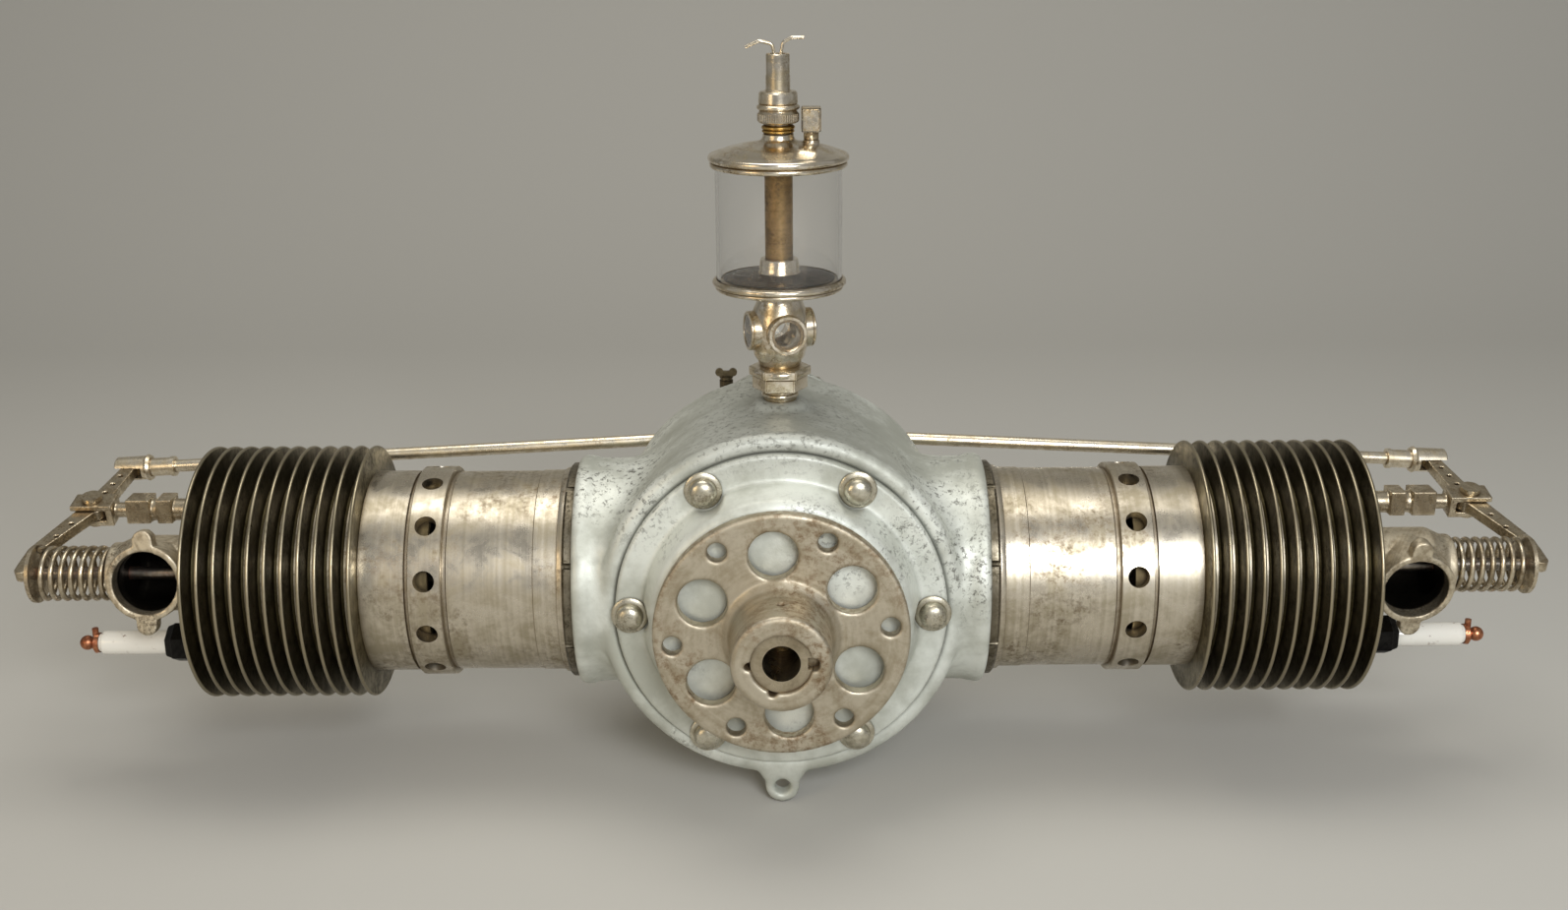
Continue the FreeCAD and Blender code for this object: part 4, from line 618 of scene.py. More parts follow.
@dataclass(frozen=True)
class Porcelain(Finish):
    """White glazed porcelain with brown handling stains."""

    white: str = "#E6E3DA"
    stain: str = "#6E4E38"

    def build(self) -> bpy.types.Material:
        """Make the material."""
        tree, shader, place, material = self.start()
        cloud = put(tree, NOISE, {"Vector": place, "Scale": per_mm(7), "Detail": 6, "Roughness": 0.7})
        flecks = put(tree, MAP, {0: cloud, 1: 0.58, 2: 0.68, 3: 0.0, 4: 0.85}, **SMOOTH)
        colour = put(tree, MIX, {0: flecks, 6: linear(self.white), 7: linear(self.stain)}, **RGBA).outputs[2]
        rough = put(tree, MAP, {0: flecks, 1: 0.0, 2: 0.8, 3: 0.16, 4: 0.6}, **SMOOTH)
        shader.inputs["Coat Weight"].default_value = 0.4
        self.finish(tree, shader, flecks, 0.03, {"Base Color": colour, "Roughness": rough})
        return material


# sand-cast aluminium alloy: pale and matt, with a grain that breaks up the highlights
CASTING = CastAluminium("cast_aluminium")
# cast iron turned all over: satin, with soft bands of light along the barrel
BARREL = TurnedMetal("turned_iron")
# rough iron casting: creamy and dull outside, painted black inside for soot and deep shade
CAGE_IRON = SootedShadedIron("iron_casting", bright="#D8CDB6", dull="#A79A83", stain="#4A3D2C", ring_depth_mm=0.05,
                       rough_low=0.42, rough_high=0.62, stain_mm=9.0, crease_shade_mm=6.0)
# machined steel that has browned in the air: dull, with rust-brown blotches
HUB_STEEL = TurnedMetal("browned_hub_steel", bright="#C6BDAA", dull="#A79C86", stain="#7C6242", axis=Axis.Y,
                        ring_mm=1.2, rough_low=0.44, rough_high=0.6, stain_mm=24.0, stain_share=0.6)
# ground steel: darker and even
SHAFT_STEEL = TurnedMetal("ground_shaft_steel", bright="#BDB19A", dull="#948871", stain="#4A3D2C",
                          axis=Axis.Y)
# worn nickel plate on steel links: warm and shiny, with brown stains and brown painted shade in the corners
LINK_STEEL = TurnedMetal("worn_nickelled_steel", bright="#DCCFB6", dull="#A99A80", stain="#5A452C",
                         ring_mm=2.0, rough_low=0.2, rough_high=0.42, stain_mm=7.0, stain_share=0.6,
                         crease_shade_mm=3.0)
# polished bolt heads: clean domes with small bright highlights
BOLT_STEEL = TurnedMetal("domed_bolt_steel", bright="#D5D0BF", dull="#AFA894", stain="#5E523F", axis=Axis.Y,
                         stain_mm=6.0, crease_shade_mm=3.0)
# drawn steel wire: smooth, with a thin bright line along each coil
SPRING_WIRE = TurnedMetal("drawn_spring_wire", bright="#CFC3AC", dull="#94866D", stain="#54412B", ring_mm=3.0,
                          rough_low=0.24, rough_high=0.42, stain_mm=9.0, crease_shade_mm=2.0)
# nickel plate on brass: mirror-like and warm, with golden stains, and the same golden tone painted as shade
# in the grooves
NICKEL = TurnedMetal("nickel_over_brass", bright="#EFE6D6", dull="#D2C4A8", stain="#846B42", axis=Axis.Z,
                     ring_mm=1.4, ring_depth_mm=0.012, rough_low=0.12, rough_high=0.30, stain_mm=11.0,
                     stain_share=0.5, crease_shade_mm=3.0)
# brass left in oil: brown and half dull
DARK_BRASS = TurnedMetal("dull_brass", bright="#B4925C", dull="#84683C", stain="#46341C", axis=Axis.Z,
                         rough_low=0.3, rough_high=0.5, stain_mm=14.0)
# brass gone nearly black: a grey-brown fitting with hardly any shine
COCK_BRASS = TurnedMetal("blackened_brass", bright="#827660", dull="#5C5341", stain="#2E281C", axis=Axis.Z,
                         rough_low=0.34, rough_high=0.52, stain_mm=6.0)
# brass that fingers keep clean: a thin yellow ring
YELLOW_BRASS = TurnedMetal("rubbed_brass", bright="#D9B66E", dull="#B08C4C", stain="#6A4E24", axis=Axis.Z,
                           rough_low=0.2, rough_high=0.36, stain_mm=6.0)
# bearing bronze: redder and duller than brass
BRONZE = TurnedMetal("bearing_bronze", bright="#B0854B", dull="#8A683B", stain="#4C3820", axis=Axis.Y)
# blued steel: nearly black with a faint sheen
BLACK_STEEL = TurnedMetal("blackened_steel", bright="#2B2A29", dull="#1B1A1A", stain="#0F0E0D",
                          rough_low=0.35, rough_high=0.55)
# copper: a clear orange spot at each end
COPPER = TurnedMetal("copper_terminal", bright="#D08E6A", dull="#9A5E44", stain="#432A20", rough_low=0.25,
                     rough_high=0.45, stain_mm=6.0)
# iron fins under old oil: dark olive faces between thin bright rims that carry a painted highlight, with
# painted shade deep in the grooves
FIN_METAL = FinMetal("oiled_fin_iron", bright="#7E7456", dull="#50472F", stain="#282214", rough_low=0.26,
                     rough_high=0.42, stain_mm=16.0, stain_share=0.6, crease_shade_mm=9.0)
# oil-browned steel ring: a dark line between barrel and case
RING_METAL = TurnedMetal("browned_lock_ring", bright="#8A8272", dull="#645C4C", stain="#353022",
                         rough_low=0.3, rough_high=0.45, stain_mm=10.0, stain_share=0.7)
# cast iron under smoke and oil, made darker still as painted shade, since it shows only deep behind the round
# holes
SHADED_PISTON_IRON = TurnedMetal("smoked_shaded_piston_iron", bright="#7F7153", dull="#5F5339", stain="#3A301E",
                          rough_low=0.4, rough_high=0.55, metallic=0.7)
# polished nickelled rod: one long bright line
PUSHROD_NICKEL = TurnedMetal("polished_pushrod", bright="#F4EAD6", dull="#D9CBAE", stain="#7F6747",
                             ring_mm=4.0, rough_low=0.24, rough_high=0.4, stain_mm=7.0, stain_share=0.3,
                             crease_shade_mm=2.0)
STEM_STEEL = HotStem("heat_browned_valve_steel", bright="#A39C92", dull="#7C756B", stain="#7A4C38",
                     rough_low=0.26, rough_high=0.4, stain_mm=12.0)
# dried oil: a dark brown, half glossy film
OLD_OIL = TurnedMetal("dried_oil_film", bright="#4A3A26", dull="#2C2217", stain="#17120C", axis=Axis.Z,
                      rough_low=0.18, rough_high=0.4, metallic=0.0)
GLASS = ClearGlass("clear_glass")
WHITE = Porcelain("white_porcelain")


class Paintbox:
    """Makes each finish once and puts it on pieces."""

    def __init__(self) -> None:
        """Start with no materials made."""
        self.made: dict[str, bpy.types.Material] = {}

    def get(self, finish: Finish) -> bpy.types.Material:
        """The material of a finish, built on first use."""
        if finish.name not in self.made:
            self.made[finish.name] = finish.build()
        return self.made[finish.name]

    def coat(self, made: Object, finish: Finish) -> None:
        """Give the whole piece one finish."""
        made.data.materials.clear()
        made.data.materials.append(self.get(finish))


PAINT = Paintbox()


@dataclass
class BareNodes:
    """The finish of each construction node, also of those that a finished piece stands for."""

    finishes: tuple[tuple[Finish, str], ...] = (
        (CASTING, "crankcase front_cover timing_cover"),
        (BARREL, "cylinder"),
        (RING_METAL, "cylinder_lock_rings"),
        (SHADED_PISTON_IRON, "piston piston_rings"),
        (CAGE_IRON, "exhaust_cage inlet_cage"),
        (HUB_STEEL, "propeller_hub"),
        (SHAFT_STEEL, "hub_key crankshaft camshaft cam_gear crank_gear connecting_rod wrist_pins tappet"
                      " inlet_valve"),
        (STEM_STEEL, "exhaust_valve"),
        (LINK_STEEL, "exhaust_retainer rocker rocker_bracket rocker_pins"),
        (PUSHROD_NICKEL, "pushrod"),
        (BOLT_STEEL, "front_cover_bolts timing_cover_screws"),
        (SPRING_WIRE, "exhaust_spring inlet_spring"),
        (BRONZE, "big_end bearing_bushes"),
        (BLACK_STEEL, "spark_plug_bodies"),
        (WHITE, "spark_plug_insulators"),
        (COPPER, "spark_plug_terminals"),
        (NICKEL, "oiler_body oiler_lid oiler_nut snap_lever filler_cap"),
        (DARK_BRASS, "oiler_needle oiler_tube"),
        (COCK_BRASS, "breather_cock_body breather_cock_handle"),
        (GLASS, "oiler_glass sight_glasses"))

    def dress(self) -> None:
        """Give every construction node its finish."""
        chosen = {name: finish for finish, names in self.finishes for name in names.split()}
        for name, node in NODES.items():
            PAINT.coat(node, chosen[name.removesuffix("_right").removesuffix("_left")])


@dataclass
class Castings:
    """The drum, its covers and the small castings, with the soft edges that sand leaves."""

    drum_r: float = 120.0
    neck_r: float = 82.5
    shoulder: float = 18.0
    cam_y: float = 106.0
    push_z: float = 66.6
    push_slope: float = 2.86
    tappet_bore: float = 7.1
    face_bore: float = 8.25
    face_depth: float = 34.3

    def crankcase(self) -> None:
        """The drum, with broad fillets where the cylinder necks leave it."""
        made = softened("crankcase", 1.7, 10)
        mesh = made.data
        places = np.zeros(len(mesh.vertices) * 3)
        mesh.vertices.foreach_get("co", places)
        x, y, z = places.reshape(-1, 3).T / MM
        from_drum = np.abs(np.hypot(x, z) - self.drum_r)
        from_neck = np.abs(np.hypot(y, z) - self.neck_r)
        near = np.clip(1.3 - np.maximum(from_drum, from_neck) / self.shoulder, 0.0, 1.0)
        near[(np.abs(x) < 60) | (y < -72)] = 0.0
        relaxed(mesh, 130, near)
        stand_for(made, CASTING, "engine", "crankcase")

    def timing_cover(self) -> None:
        """The rear cover, with its tappet guides bored again once the edges are rounded."""
        made = softened("timing_cover", 1.6, 4)
        for sign in (1, -1):
            slope = math.radians(self.push_slope)
            way = Vector((sign * math.cos(slope), 0.0, -math.sin(slope)))
            turn = way.to_track_quat("Z", "Y").to_matrix().to_4x4()
            place = Matrix.Translation((0, self.cam_y * MM, self.push_z * MM)) @ turn
            bore = [(9, 0), (9, self.face_bore), (self.face_depth, self.face_bore),
                    (self.face_depth, self.tappet_bore), (88, self.tappet_bore), (88, 0)]
            cut(made, piece("bore", turned(bore, 64), place))
        stand_for(made, CASTING, "engine", "timing_cover")

    def build(self) -> None:
        """Make every casting."""
        self.crankcase()
        stand_for(softened("front_cover", 1.2, 6), CASTING, "engine", "front_cover")
        self.timing_cover()
        for side, _ in SIDES:
            for base, voxel, rounds, finish in (("exhaust_cage_", 0.8, 4, CAGE_IRON),
                                                ("inlet_cage_", 1.0, 4, CAGE_IRON),
                                                ("rocker_bracket_", 0.6, 3, LINK_STEEL),
                                                ("rocker_", 0.55, 3, LINK_STEEL)):
                node = base + side
                body = node if base == "rocker_" else "engine"
                stand_for(softened(node, voxel, rounds), finish, body, node)
        stand_for(softened("propeller_hub", 1.1, 2), HUB_STEEL, "crank", "propeller_hub")


@dataclass
class Springs:
    """Round-wire valve springs, wound by a geometry tree."""

    wire: float = 1.9
    mean_r: float = 17.2
    seat: float = 459.2
    end: float = 510.8
    turns: float = 7.0
    inlet_wire: float = 0.9
    inlet_mean_r: float = 6.6
    inlet_seat: float = 448.9
    inlet_end: float = 472.5
    inlet_turns: float = 6.0

    def tree(self) -> Tree:
        """A wire swept along a spiral on +Z."""
        tree, given = new_tree("wound_spring", Radius=0.01, Wire=0.001, Rise=0.05, Turns=6.0)
        spiral = put(tree, "GeometryNodeCurveSpiral", {
            "Resolution": 48, "Rotations": given["Turns"], "Start Radius": given["Radius"],
            "End Radius": given["Radius"], "Height": given["Rise"]})
        ring = put(tree, "GeometryNodeCurvePrimitiveCircle", {"Resolution": 16, "Radius": given["Wire"]})
        swept = put(tree, "GeometryNodeCurveToMesh", {"Curve": spiral, "Profile Curve": ring,
                                                      "Fill Caps": True})
        return close_tree(tree, swept, SPRING_WIRE)

    def build(self) -> None:
        """Wind the four springs."""
        tree = self.tree()
        kinds = (("exhaust_spring_", self.wire, self.mean_r, self.seat, self.end, self.turns, *EXHAUST_AT),
                 ("inlet_spring_", self.inlet_wire, self.inlet_mean_r, self.inlet_seat, self.inlet_end,
                  self.inlet_turns, *INLET_AT))
        for start, wire, mean, seat, end, turns, y, z in kinds:
            for side, sign in SIDES:
                made = grown(tree, start + side + "_wound",
                             {"Radius": mean * MM, "Wire": wire * MM, "Rise": (end - seat - 2 * wire) * MM,
                              "Turns": turns},
                             place=along(Axis.X, (sign * (seat + wire), y, z), sign))
                stand_for(made, SPRING_WIRE, "engine", start + side)


@dataclass
class Cylinders:
    """Barrels turned from iron, each with its row of rounded fins."""

    fin_r: float = 88.0
    root_r: float = 69.0
    fin_t: float = 3.2
    pitch: float = 11.1
    first: float = 283.0
    count: int = 11
    barrel_r: float = 70.0
    bore_r: float = 63.5
    start: float = 113.0
    collar: float = 146.0
    step: float = 166.3
    face: float = HEAD_FACE
    seats: tuple[tuple[float, float, float], ...] = (
        (*EXHAUST_AT, 27.0), (*INLET_AT, 27.0), (*PLUG_AT, 8.9), (50, 28.69, 6.0))
    port_x: float = 238.0
    port_r: float = 7.2
    ports: int = 12

    def fin_tree(self) -> Tree:
        """Copies of one fin in a row along +Z."""
        tree, given = new_tree("row_of_fins", Count=11, Pitch=0.011)
        step = put(tree, "ShaderNodeCombineXYZ", {"Z": given["Pitch"]})
        line = put(tree, "GeometryNodeMeshLine", {"Count": given["Count"], "Offset": step})
        rows = put(tree, "GeometryNodeInstanceOnPoints", {"Points": line, "Instance": given["Geometry"]})
        return close_tree(tree, rows, FIN_METAL)

    def fin(self) -> Mesh:
        """One fin: a disc with a rounded rim and a swelling at its root."""
        half = self.fin_t / 2
        profile = [(-2.2, self.root_r - 2), (-2.2, self.root_r), (-0.6, self.root_r + 0.8),
                   (0.0, self.root_r + 2.6), (0.25, self.fin_r - half)]
        profile += arc(half, self.fin_r - half + 0.1, half - 0.25, -90, 90, 8)
        profile += [(self.fin_t, self.root_r + 2.6), (self.fin_t + 0.6, self.root_r + 0.8),
                    (self.fin_t + 2.2, self.root_r), (self.fin_t + 2.2, self.root_r - 2)]
        mesh = as_mesh("fin", turned(profile, 144))
        mesh.shade_smooth()
        return mesh

    def barrel(self, name: str) -> Object:
        """The barrel and head, drawn on +Z, with its holes."""
        r, band, collar, step = self.barrel_r, self.port_x, self.collar, self.step
        profile = [(self.start, self.bore_r), (self.start, r - 1.5), (self.start + 1.5, r), (collar, r),
                   (collar, r + 1.7), (collar + 0.4, r + 2), (collar + 3.4, r + 1.6), (collar + 4, r + 1.2),
                   (collar + 4, r), (step - 0.6, r), (step, r - 0.6), (band - 14.2, r - 0.6),
                   (band - 13.5, r - 1.4), (band - 11.2, r - 1.4), (band - 11.0, r + 2.6),
                   (band - 10.6, r + 3.0), (band + 10.6, r + 3.0),
                   (band + 11.0, r + 2.6), (band + 11.2, r - 1.4), (band + 13.5, r - 1.4), (band + 14.2, r),
                   (self.first + 3, r), (self.first + 3, self.root_r), (self.face - 0.6, self.root_r),
                   (self.face, self.root_r - 0.6), (self.face, 0.0), (self.face - 12, 0.0),
                   (self.face - 12, self.bore_r - 6), (self.face - 20, self.bore_r)]
        made = piece(name, turned(profile, 180))
        holes = bmesh.new()
        for k in range(self.ports):
            turn = Matrix.Rotation(math.radians((k + 0.5) * 360 / self.ports), 4, "Z")
            drill = turn @ along(Axis.X, (40, 0, band))
            bmesh.ops.create_cone(holes, cap_ends=True, segments=40, radius1=self.port_r * MM,
                                  radius2=self.port_r * MM, depth=80 * MM,
                                  matrix=drill @ Matrix.Translation((0, 0, 0.02)))
        cut(made, piece("drills", holes))
        seats = bmesh.new()
        for y, z, r_hole in self.seats:
            bmesh.ops.create_cone(seats, cap_ends=True, segments=64, radius1=r_hole * MM, radius2=r_hole * MM,
                                  depth=30 * MM, matrix=Matrix.Translation(Vector((-z, y, self.face)) * MM))
        return cut(made, piece("seats", seats))

    def build(self) -> None:
        """Make both cylinders."""
        tree = self.fin_tree()
        for side, sign in SIDES:
            body = self.barrel("cylinder_%s_turned" % side)
            PAINT.coat(body, BARREL)
            fins = grown(tree, "fins_" + side, {"Count": self.count, "Pitch": self.pitch * MM}, self.fin(),
                         Matrix.Translation((0, 0, self.first * MM)))
            made = joined("cylinder_%s_turned" % side, [body, fins])
            stand = along(Axis.X, (0, 0, 0))
            if sign < 0:
                stand = Matrix.Scale(-1, 4, Vector((1, 0, 0))) @ stand
            made.data.transform(stand)
            if sign < 0:
                made.data.flip_normals()
            smoothed(made.data)
            stand_for(made, None, "engine", "cylinder_" + side)


@dataclass
class Oiler:
    """Sight-feed oiler of nickelled brass with rolled beads, milled rings and a glass cup."""

    foot: float = 124.0
    globe_z: float = 173.0
    window_r: float = 11.0
    window_turn: float = 15.0
    base_z: float = 201.0
    glass_low: float = 207.5
    glass_high: float = 284.0
    glass_r: float = 42.0
    glass_t: float = 2.5
    lid_top: float = 294.0
    filler_x: float = 21.5

    def hexagon(self, across: float, low: float, high: float) -> bmesh.types.BMesh:
        """A hexagon nut blank with its corners turned off, in millimetres on +Z."""
        corner = across / math.sqrt(3)
        bm = bmesh.new()
        rows = ((low, corner - 1.2), (low + 0.8, corner), (high - 0.8, corner), (high, corner - 1.2))
        turns = [math.radians(60 * k) for k in range(6)]
        rings = [[bm.verts.new((r * MM * math.cos(t), r * MM * math.sin(t), z * MM)) for t in turns]
                 for z, r in rows]
        for a, b in zip(rings, rings[1:]):
            for k in range(6):
                bm.faces.new((a[k], a[(k + 1) % 6], b[(k + 1) % 6], b[k]))
        bm.faces.new(rings[0][::-1])
        bm.faces.new(rings[-1])
        bmesh.ops.bevel(bm, geom=[e for e in bm.edges if abs(e.verts[0].co.z - e.verts[1].co.z) > 2 * MM],
                        offset=0.7 * MM, segments=2, affect="EDGES")
        bmesh.ops.recalc_face_normals(bm, faces=bm.faces)
        return bm

    def body(self) -> None:
        """Foot, hexagons, globe with four round windows, and the dished base."""
        z, g, base = self.foot, self.globe_z, self.base_z
        profile = [(z, 3), (z, 11.2)] + arc(z + 3.6, 11.2, 1.6, -80, 80, 6)
        profile += [(z + 7.4, 11.4), (z + 8, 13), (z + 18, 13)] + arc(z + 20.4, 17.2, 2.6, -85, 85, 8)
        profile += [(z + 24.2, 13.6), (z + 27, 14.6), (z + 31, 17.2), (g - 11, 19.0), (g - 5, 20.0),
                    (g, 20.2), (g + 5, 19.9), (g + 10, 19.0), (g + 15, 17.2), (g + 19, 15.6), (g + 22, 14.9),
                    (g + 24, 15.3),
                    (base - 1.8, 18), (base - 0.8, 24), (base - 0.4, 34), (base, 40.2)]
        profile += arc(base + 1.7, 41.4, 1.6, -70, 70, 6) + arc(base + 5.0, 43.0, 1.9, -75, 90, 8)
        profile += [(base + 7.4, 42.6), (base + 7.4, self.glass_r + 0.3),
                    (self.glass_low, self.glass_r + 0.3), (self.glass_low, self.glass_r - self.glass_t - 0.3),
                    (self.glass_low + 1.0, 37.4),
                    (self.glass_low + 2.2, 32), (self.glass_low + 3.0, 20), (self.glass_low + 4.2, 14.6),
                    (self.glass_low + 6.5, 13.4), (self.glass_low + 13, 12.9), (self.glass_low + 14, 12.2),
                    (self.glass_low + 14, 6.3), (self.glass_low + 2, 6.3), (self.glass_low + 2, 3),
                    (g + 13, 3), (g + 13, 9), (g + 8, 13), (g - 8, 13), (g - 13, 9), (g - 13, 3)]
        made = piece("oiler_body_turned", turned(profile, 128))
        cut(made, piece("nut", self.hexagon(33.0, z + 7.6, z + 17)), "UNION")
        cut(made, piece("flange", self.hexagon(37.0, z + 17, z + 23.5)), "UNION")
        r = self.window_r
        ring = [(-22.4, 0), (-22.4, r + 0.4)] + arc(-21.6, r + 1.4, 0.9, -60, 60, 4)
        ring += [(-20, r + 2.4), (20, r + 2.4)] + arc(21.6, r + 1.4, 0.9, -60, 60, 4)
        ring += [(22.4, r + 0.4), (22.4, 0)]
        hole = [(-30, 0), (-30, r), (-20, r), (-20, 9), (20, 9), (20, r), (30, r), (30, 0)]
        for name, shape, how in (("bezel", ring, "UNION"), ("hole", hole, "DIFFERENCE")):
            for quarter in (0, 90):
                turn = Matrix.Rotation(math.radians(quarter + self.window_turn), 4, "Z")
                cut(made, piece(name, turned(shape, 64), turn @ along(Axis.Y, (0, 0, g))), how)
        hollow = [(g - 12.9, 0), (g - 12.9, 8), (g - 8, 12.9), (g + 8, 12.9), (g + 12.9, 8), (g + 12.9, 0)]
        cut(made, piece("hollow", turned(hollow, 64)))
        smoothed(made.data)
        stand_for(made, NICKEL, "engine", "oiler_body")
        z = self.glass_low + 1.2
        film = [(z, 37.2), (z + 1.3, 31.8), (z + 2.1, 20), (z + 3.3, 14.4), (z + 3.6, 14.5), (z + 2.5, 20.1),
                (z + 1.7, 31.9), (z + 0.3, 37.3)]
        stand_for(piece("oiler_old_oil", turned(film, 96)), OLD_OIL, "engine")

    def lid(self) -> None:
        """Lid with two rolled beads, a swept neck and the bored stem."""
        top, high = self.lid_top, self.glass_high
        profile = [(high + 1, 4), (high + 1, 39.2), (high, 39.2), (high, 42.3), (high - 1.6, 42.3)]
        profile += arc(high + 0.3, 43.6, 1.9, -88, 70, 8) + arc(high + 4.6, 44.2, 2.4, -62, 92, 10)
        profile += [(top - 2.2, 42.6), (top - 1.6, 40.5), (top + 0.4, 35), (top + 2.2, 28), (top + 3.6, 20),
                    (top + 4.6, 14.6), (top + 5.4, 12.2), (top + 6.4, 10.9), (top + 8.4, 10.2),
                    (top + 9.6, 10.2), (top + 10.0, 9.6), (top + 10.2, 8.8), (top + 16.6, 8.8),
                    (top + 16.6, 7.3),
                    (top + 20, 7.3), (top + 20, 4)]
        made = piece("oiler_lid_turned", turned(profile, 128))
        post = [(top - 3, 0), (top - 3, 5.5), (top + 4.4, 5.5)] + arc(top + 4.8, 4.4, 1.1, -40, 85, 5)
        post += [(top + 6, 4.2), (top + 6, 0)]
        shift = Matrix.Translation((self.filler_x * MM, 0, 0))
        cut(made, piece("post", turned(post, 48), shift), "UNION")
        bore = [(high - 6, 0), (high - 6, 3.45), (top + 8, 3.45), (top + 8, 0)]
        cut(made, piece("bore", turned(bore, 40), shift))
        stand_for(made, NICKEL, "engine", "oiler_lid")
        ring = [(top + 10.6, 9.0), (top + 10.6, 9.9)] + arc(top + 11.6, 10.0, 0.7, -60, 60, 4)
        ring += [(top + 12.6, 9.8)] + arc(top + 14.0, 9.8, 1.2, -70, 70, 5)
        ring += [(top + 15.6, 9.6), (top + 15.6, 9.0)]
        stand_for(piece("oiler_gland_ring", turned(ring, 72)), YELLOW_BRASS, "engine")

    def mill_tree(self) -> Tree:
        """Straight milled ridges round a ring, added to the turned piece."""
        tree, given = new_tree("milled_ring", Count=48, Radius=0.0135, Height=0.317, Length=0.005,
                               Ridge=0.0007)
        ring = put(tree, "GeometryNodeMeshCircle", {"Vertices": given["Count"], "Radius": given["Radius"]})
        ridge = put(tree, "GeometryNodeMeshCylinder", {"Vertices": 6, "Radius": given["Ridge"],
                                                       "Depth": given["Length"]})
        rows = put(tree, "GeometryNodeInstanceOnPoints", {"Points": ring, "Instance": ridge})
        lift = put(tree, "ShaderNodeCombineXYZ", {"Z": given["Height"]})
        moved = put(tree, "GeometryNodeTransform", {"Geometry": rows, "Translation": lift})
        both = put(tree, "GeometryNodeJoinGeometry", {"Geometry": moved})
        tree.links.new(given["Geometry"], both.inputs["Geometry"])
        return close_tree(tree, both, NICKEL)

    def regulator(self) -> None:
        """Stepped regulator nut with a milled ring and the slotted sleeve above it."""
        z = self.lid_top + 17
        profile = [(z, 9.0), (z, 12.4), (z + 0.6, 13.2), (z + 6.2, 13.2), (z + 7, 12.6), (z + 8, 12.2)]
        profile += arc(z + 10.0, 12.6, 1.5, -70, 70, 6)
        profile += [(z + 12.2, 12.3), (z + 12.8, 12.9), (z + 19, 12.6), (z + 20.2, 11.6), (z + 20.6, 8.6),
                    (z + 21.4, 8.0), (z + 43.4, 8.0), (z + 44, 7.5), (z + 44, 5.3), (z + 6, 5.3),
                    (z + 6, 9.0)]
        made = piece("regulator_slotted", turned(profile))
        slot = bmesh.new()
        bmesh.ops.create_cube(slot, size=1.0, matrix=Matrix.Translation((0, 0, (z + 38) * MM))
                              @ Matrix.Diagonal((20 * MM, 4.8 * MM, 16 * MM, 1)))
        cut(made, piece("slot", slot))
        mesh = made.data.copy()
        bpy.data.objects.remove(made)
        made = grown(self.mill_tree(), "regulator_milled",
                     {"Count": 52, "Radius": 13.1 * MM, "Height": (z + 3.6) * MM, "Length": 4.6 * MM,
                      "Ridge": 0.6 * MM}, mesh)
        stand_for(made, NICKEL, "regulator", "oiler_nut")

    def glass(self) -> None:
        """Glass cup wall with fire-polished ends."""
        low, high, r, t = self.glass_low + 0.02, self.glass_high - 0.02, self.glass_r, self.glass_t
        profile = [(low, r - t + 0.5), (low, r - 0.5), (low + 0.5, r), (high - 0.5, r), (high, r - 0.5),
                   (high, r - t + 0.5), (high - 0.5, r - t), (low + 0.5, r - t)]
        stand_for(piece("oiler_glass_blown", turned(profile, 144)), GLASS, "engine", "oiler_glass")

    def filler(self) -> None:
        """Square head with worn corners and a shallow sunk panel on each face."""
        z = self.lid_top + 6
        bm = bmesh.new()
        bmesh.ops.create_cube(bm, size=1.0, matrix=Matrix.Translation((self.filler_x * MM, 0, (z + 13) * MM))
                              @ Matrix.Diagonal((13 * MM, 13 * MM, 16 * MM, 1)))
        sides = [f for f in bm.faces if abs(f.normal.z) < 0.5]
        bmesh.ops.inset_individual(bm, faces=sides, thickness=1.7 * MM, depth=0.0)
        bmesh.ops.inset_individual(bm, faces=sides, thickness=0.5 * MM, depth=-0.6 * MM)
        outer = [e for e in bm.edges if e.calc_face_angle(0) > math.radians(60)
                 and max(abs(v.co.y) for v in e.verts) > 6.4 * MM]
        bmesh.ops.bevel(bm, geom=outer, offset=0.8 * MM, segments=3, affect="EDGES")
        made = piece("filler_head", bm)
        stem = [(z - 8, 0), (z - 8, 2.9), (z - 7.4, 3.4), (z, 3.4), (z, 4.6), (z + 0.5, 5), (z + 5.6, 5),
                (z + 5.6, 0)]
        cut(made, piece("stem", turned(stem, 40), Matrix.Translation((self.filler_x * MM, 0, 0))), "UNION")
        stand_for(made, NICKEL, "filler_plug", "filler_cap")

    def windows(self) -> None:
        """The sight glasses, set round with their windows."""
        mesh = NODES["sight_glasses"].data.copy()
        mesh.transform(Matrix.Rotation(math.radians(self.window_turn), 4, "Z"))
        stand_for(piece("sight_glasses_set", mesh), GLASS, "engine", "sight_glasses")

    def build(self) -> None:
        """Make the oiler."""
        self.body()
        self.windows()
        self.lid()
        self.regulator()
        self.glass()
        self.filler()


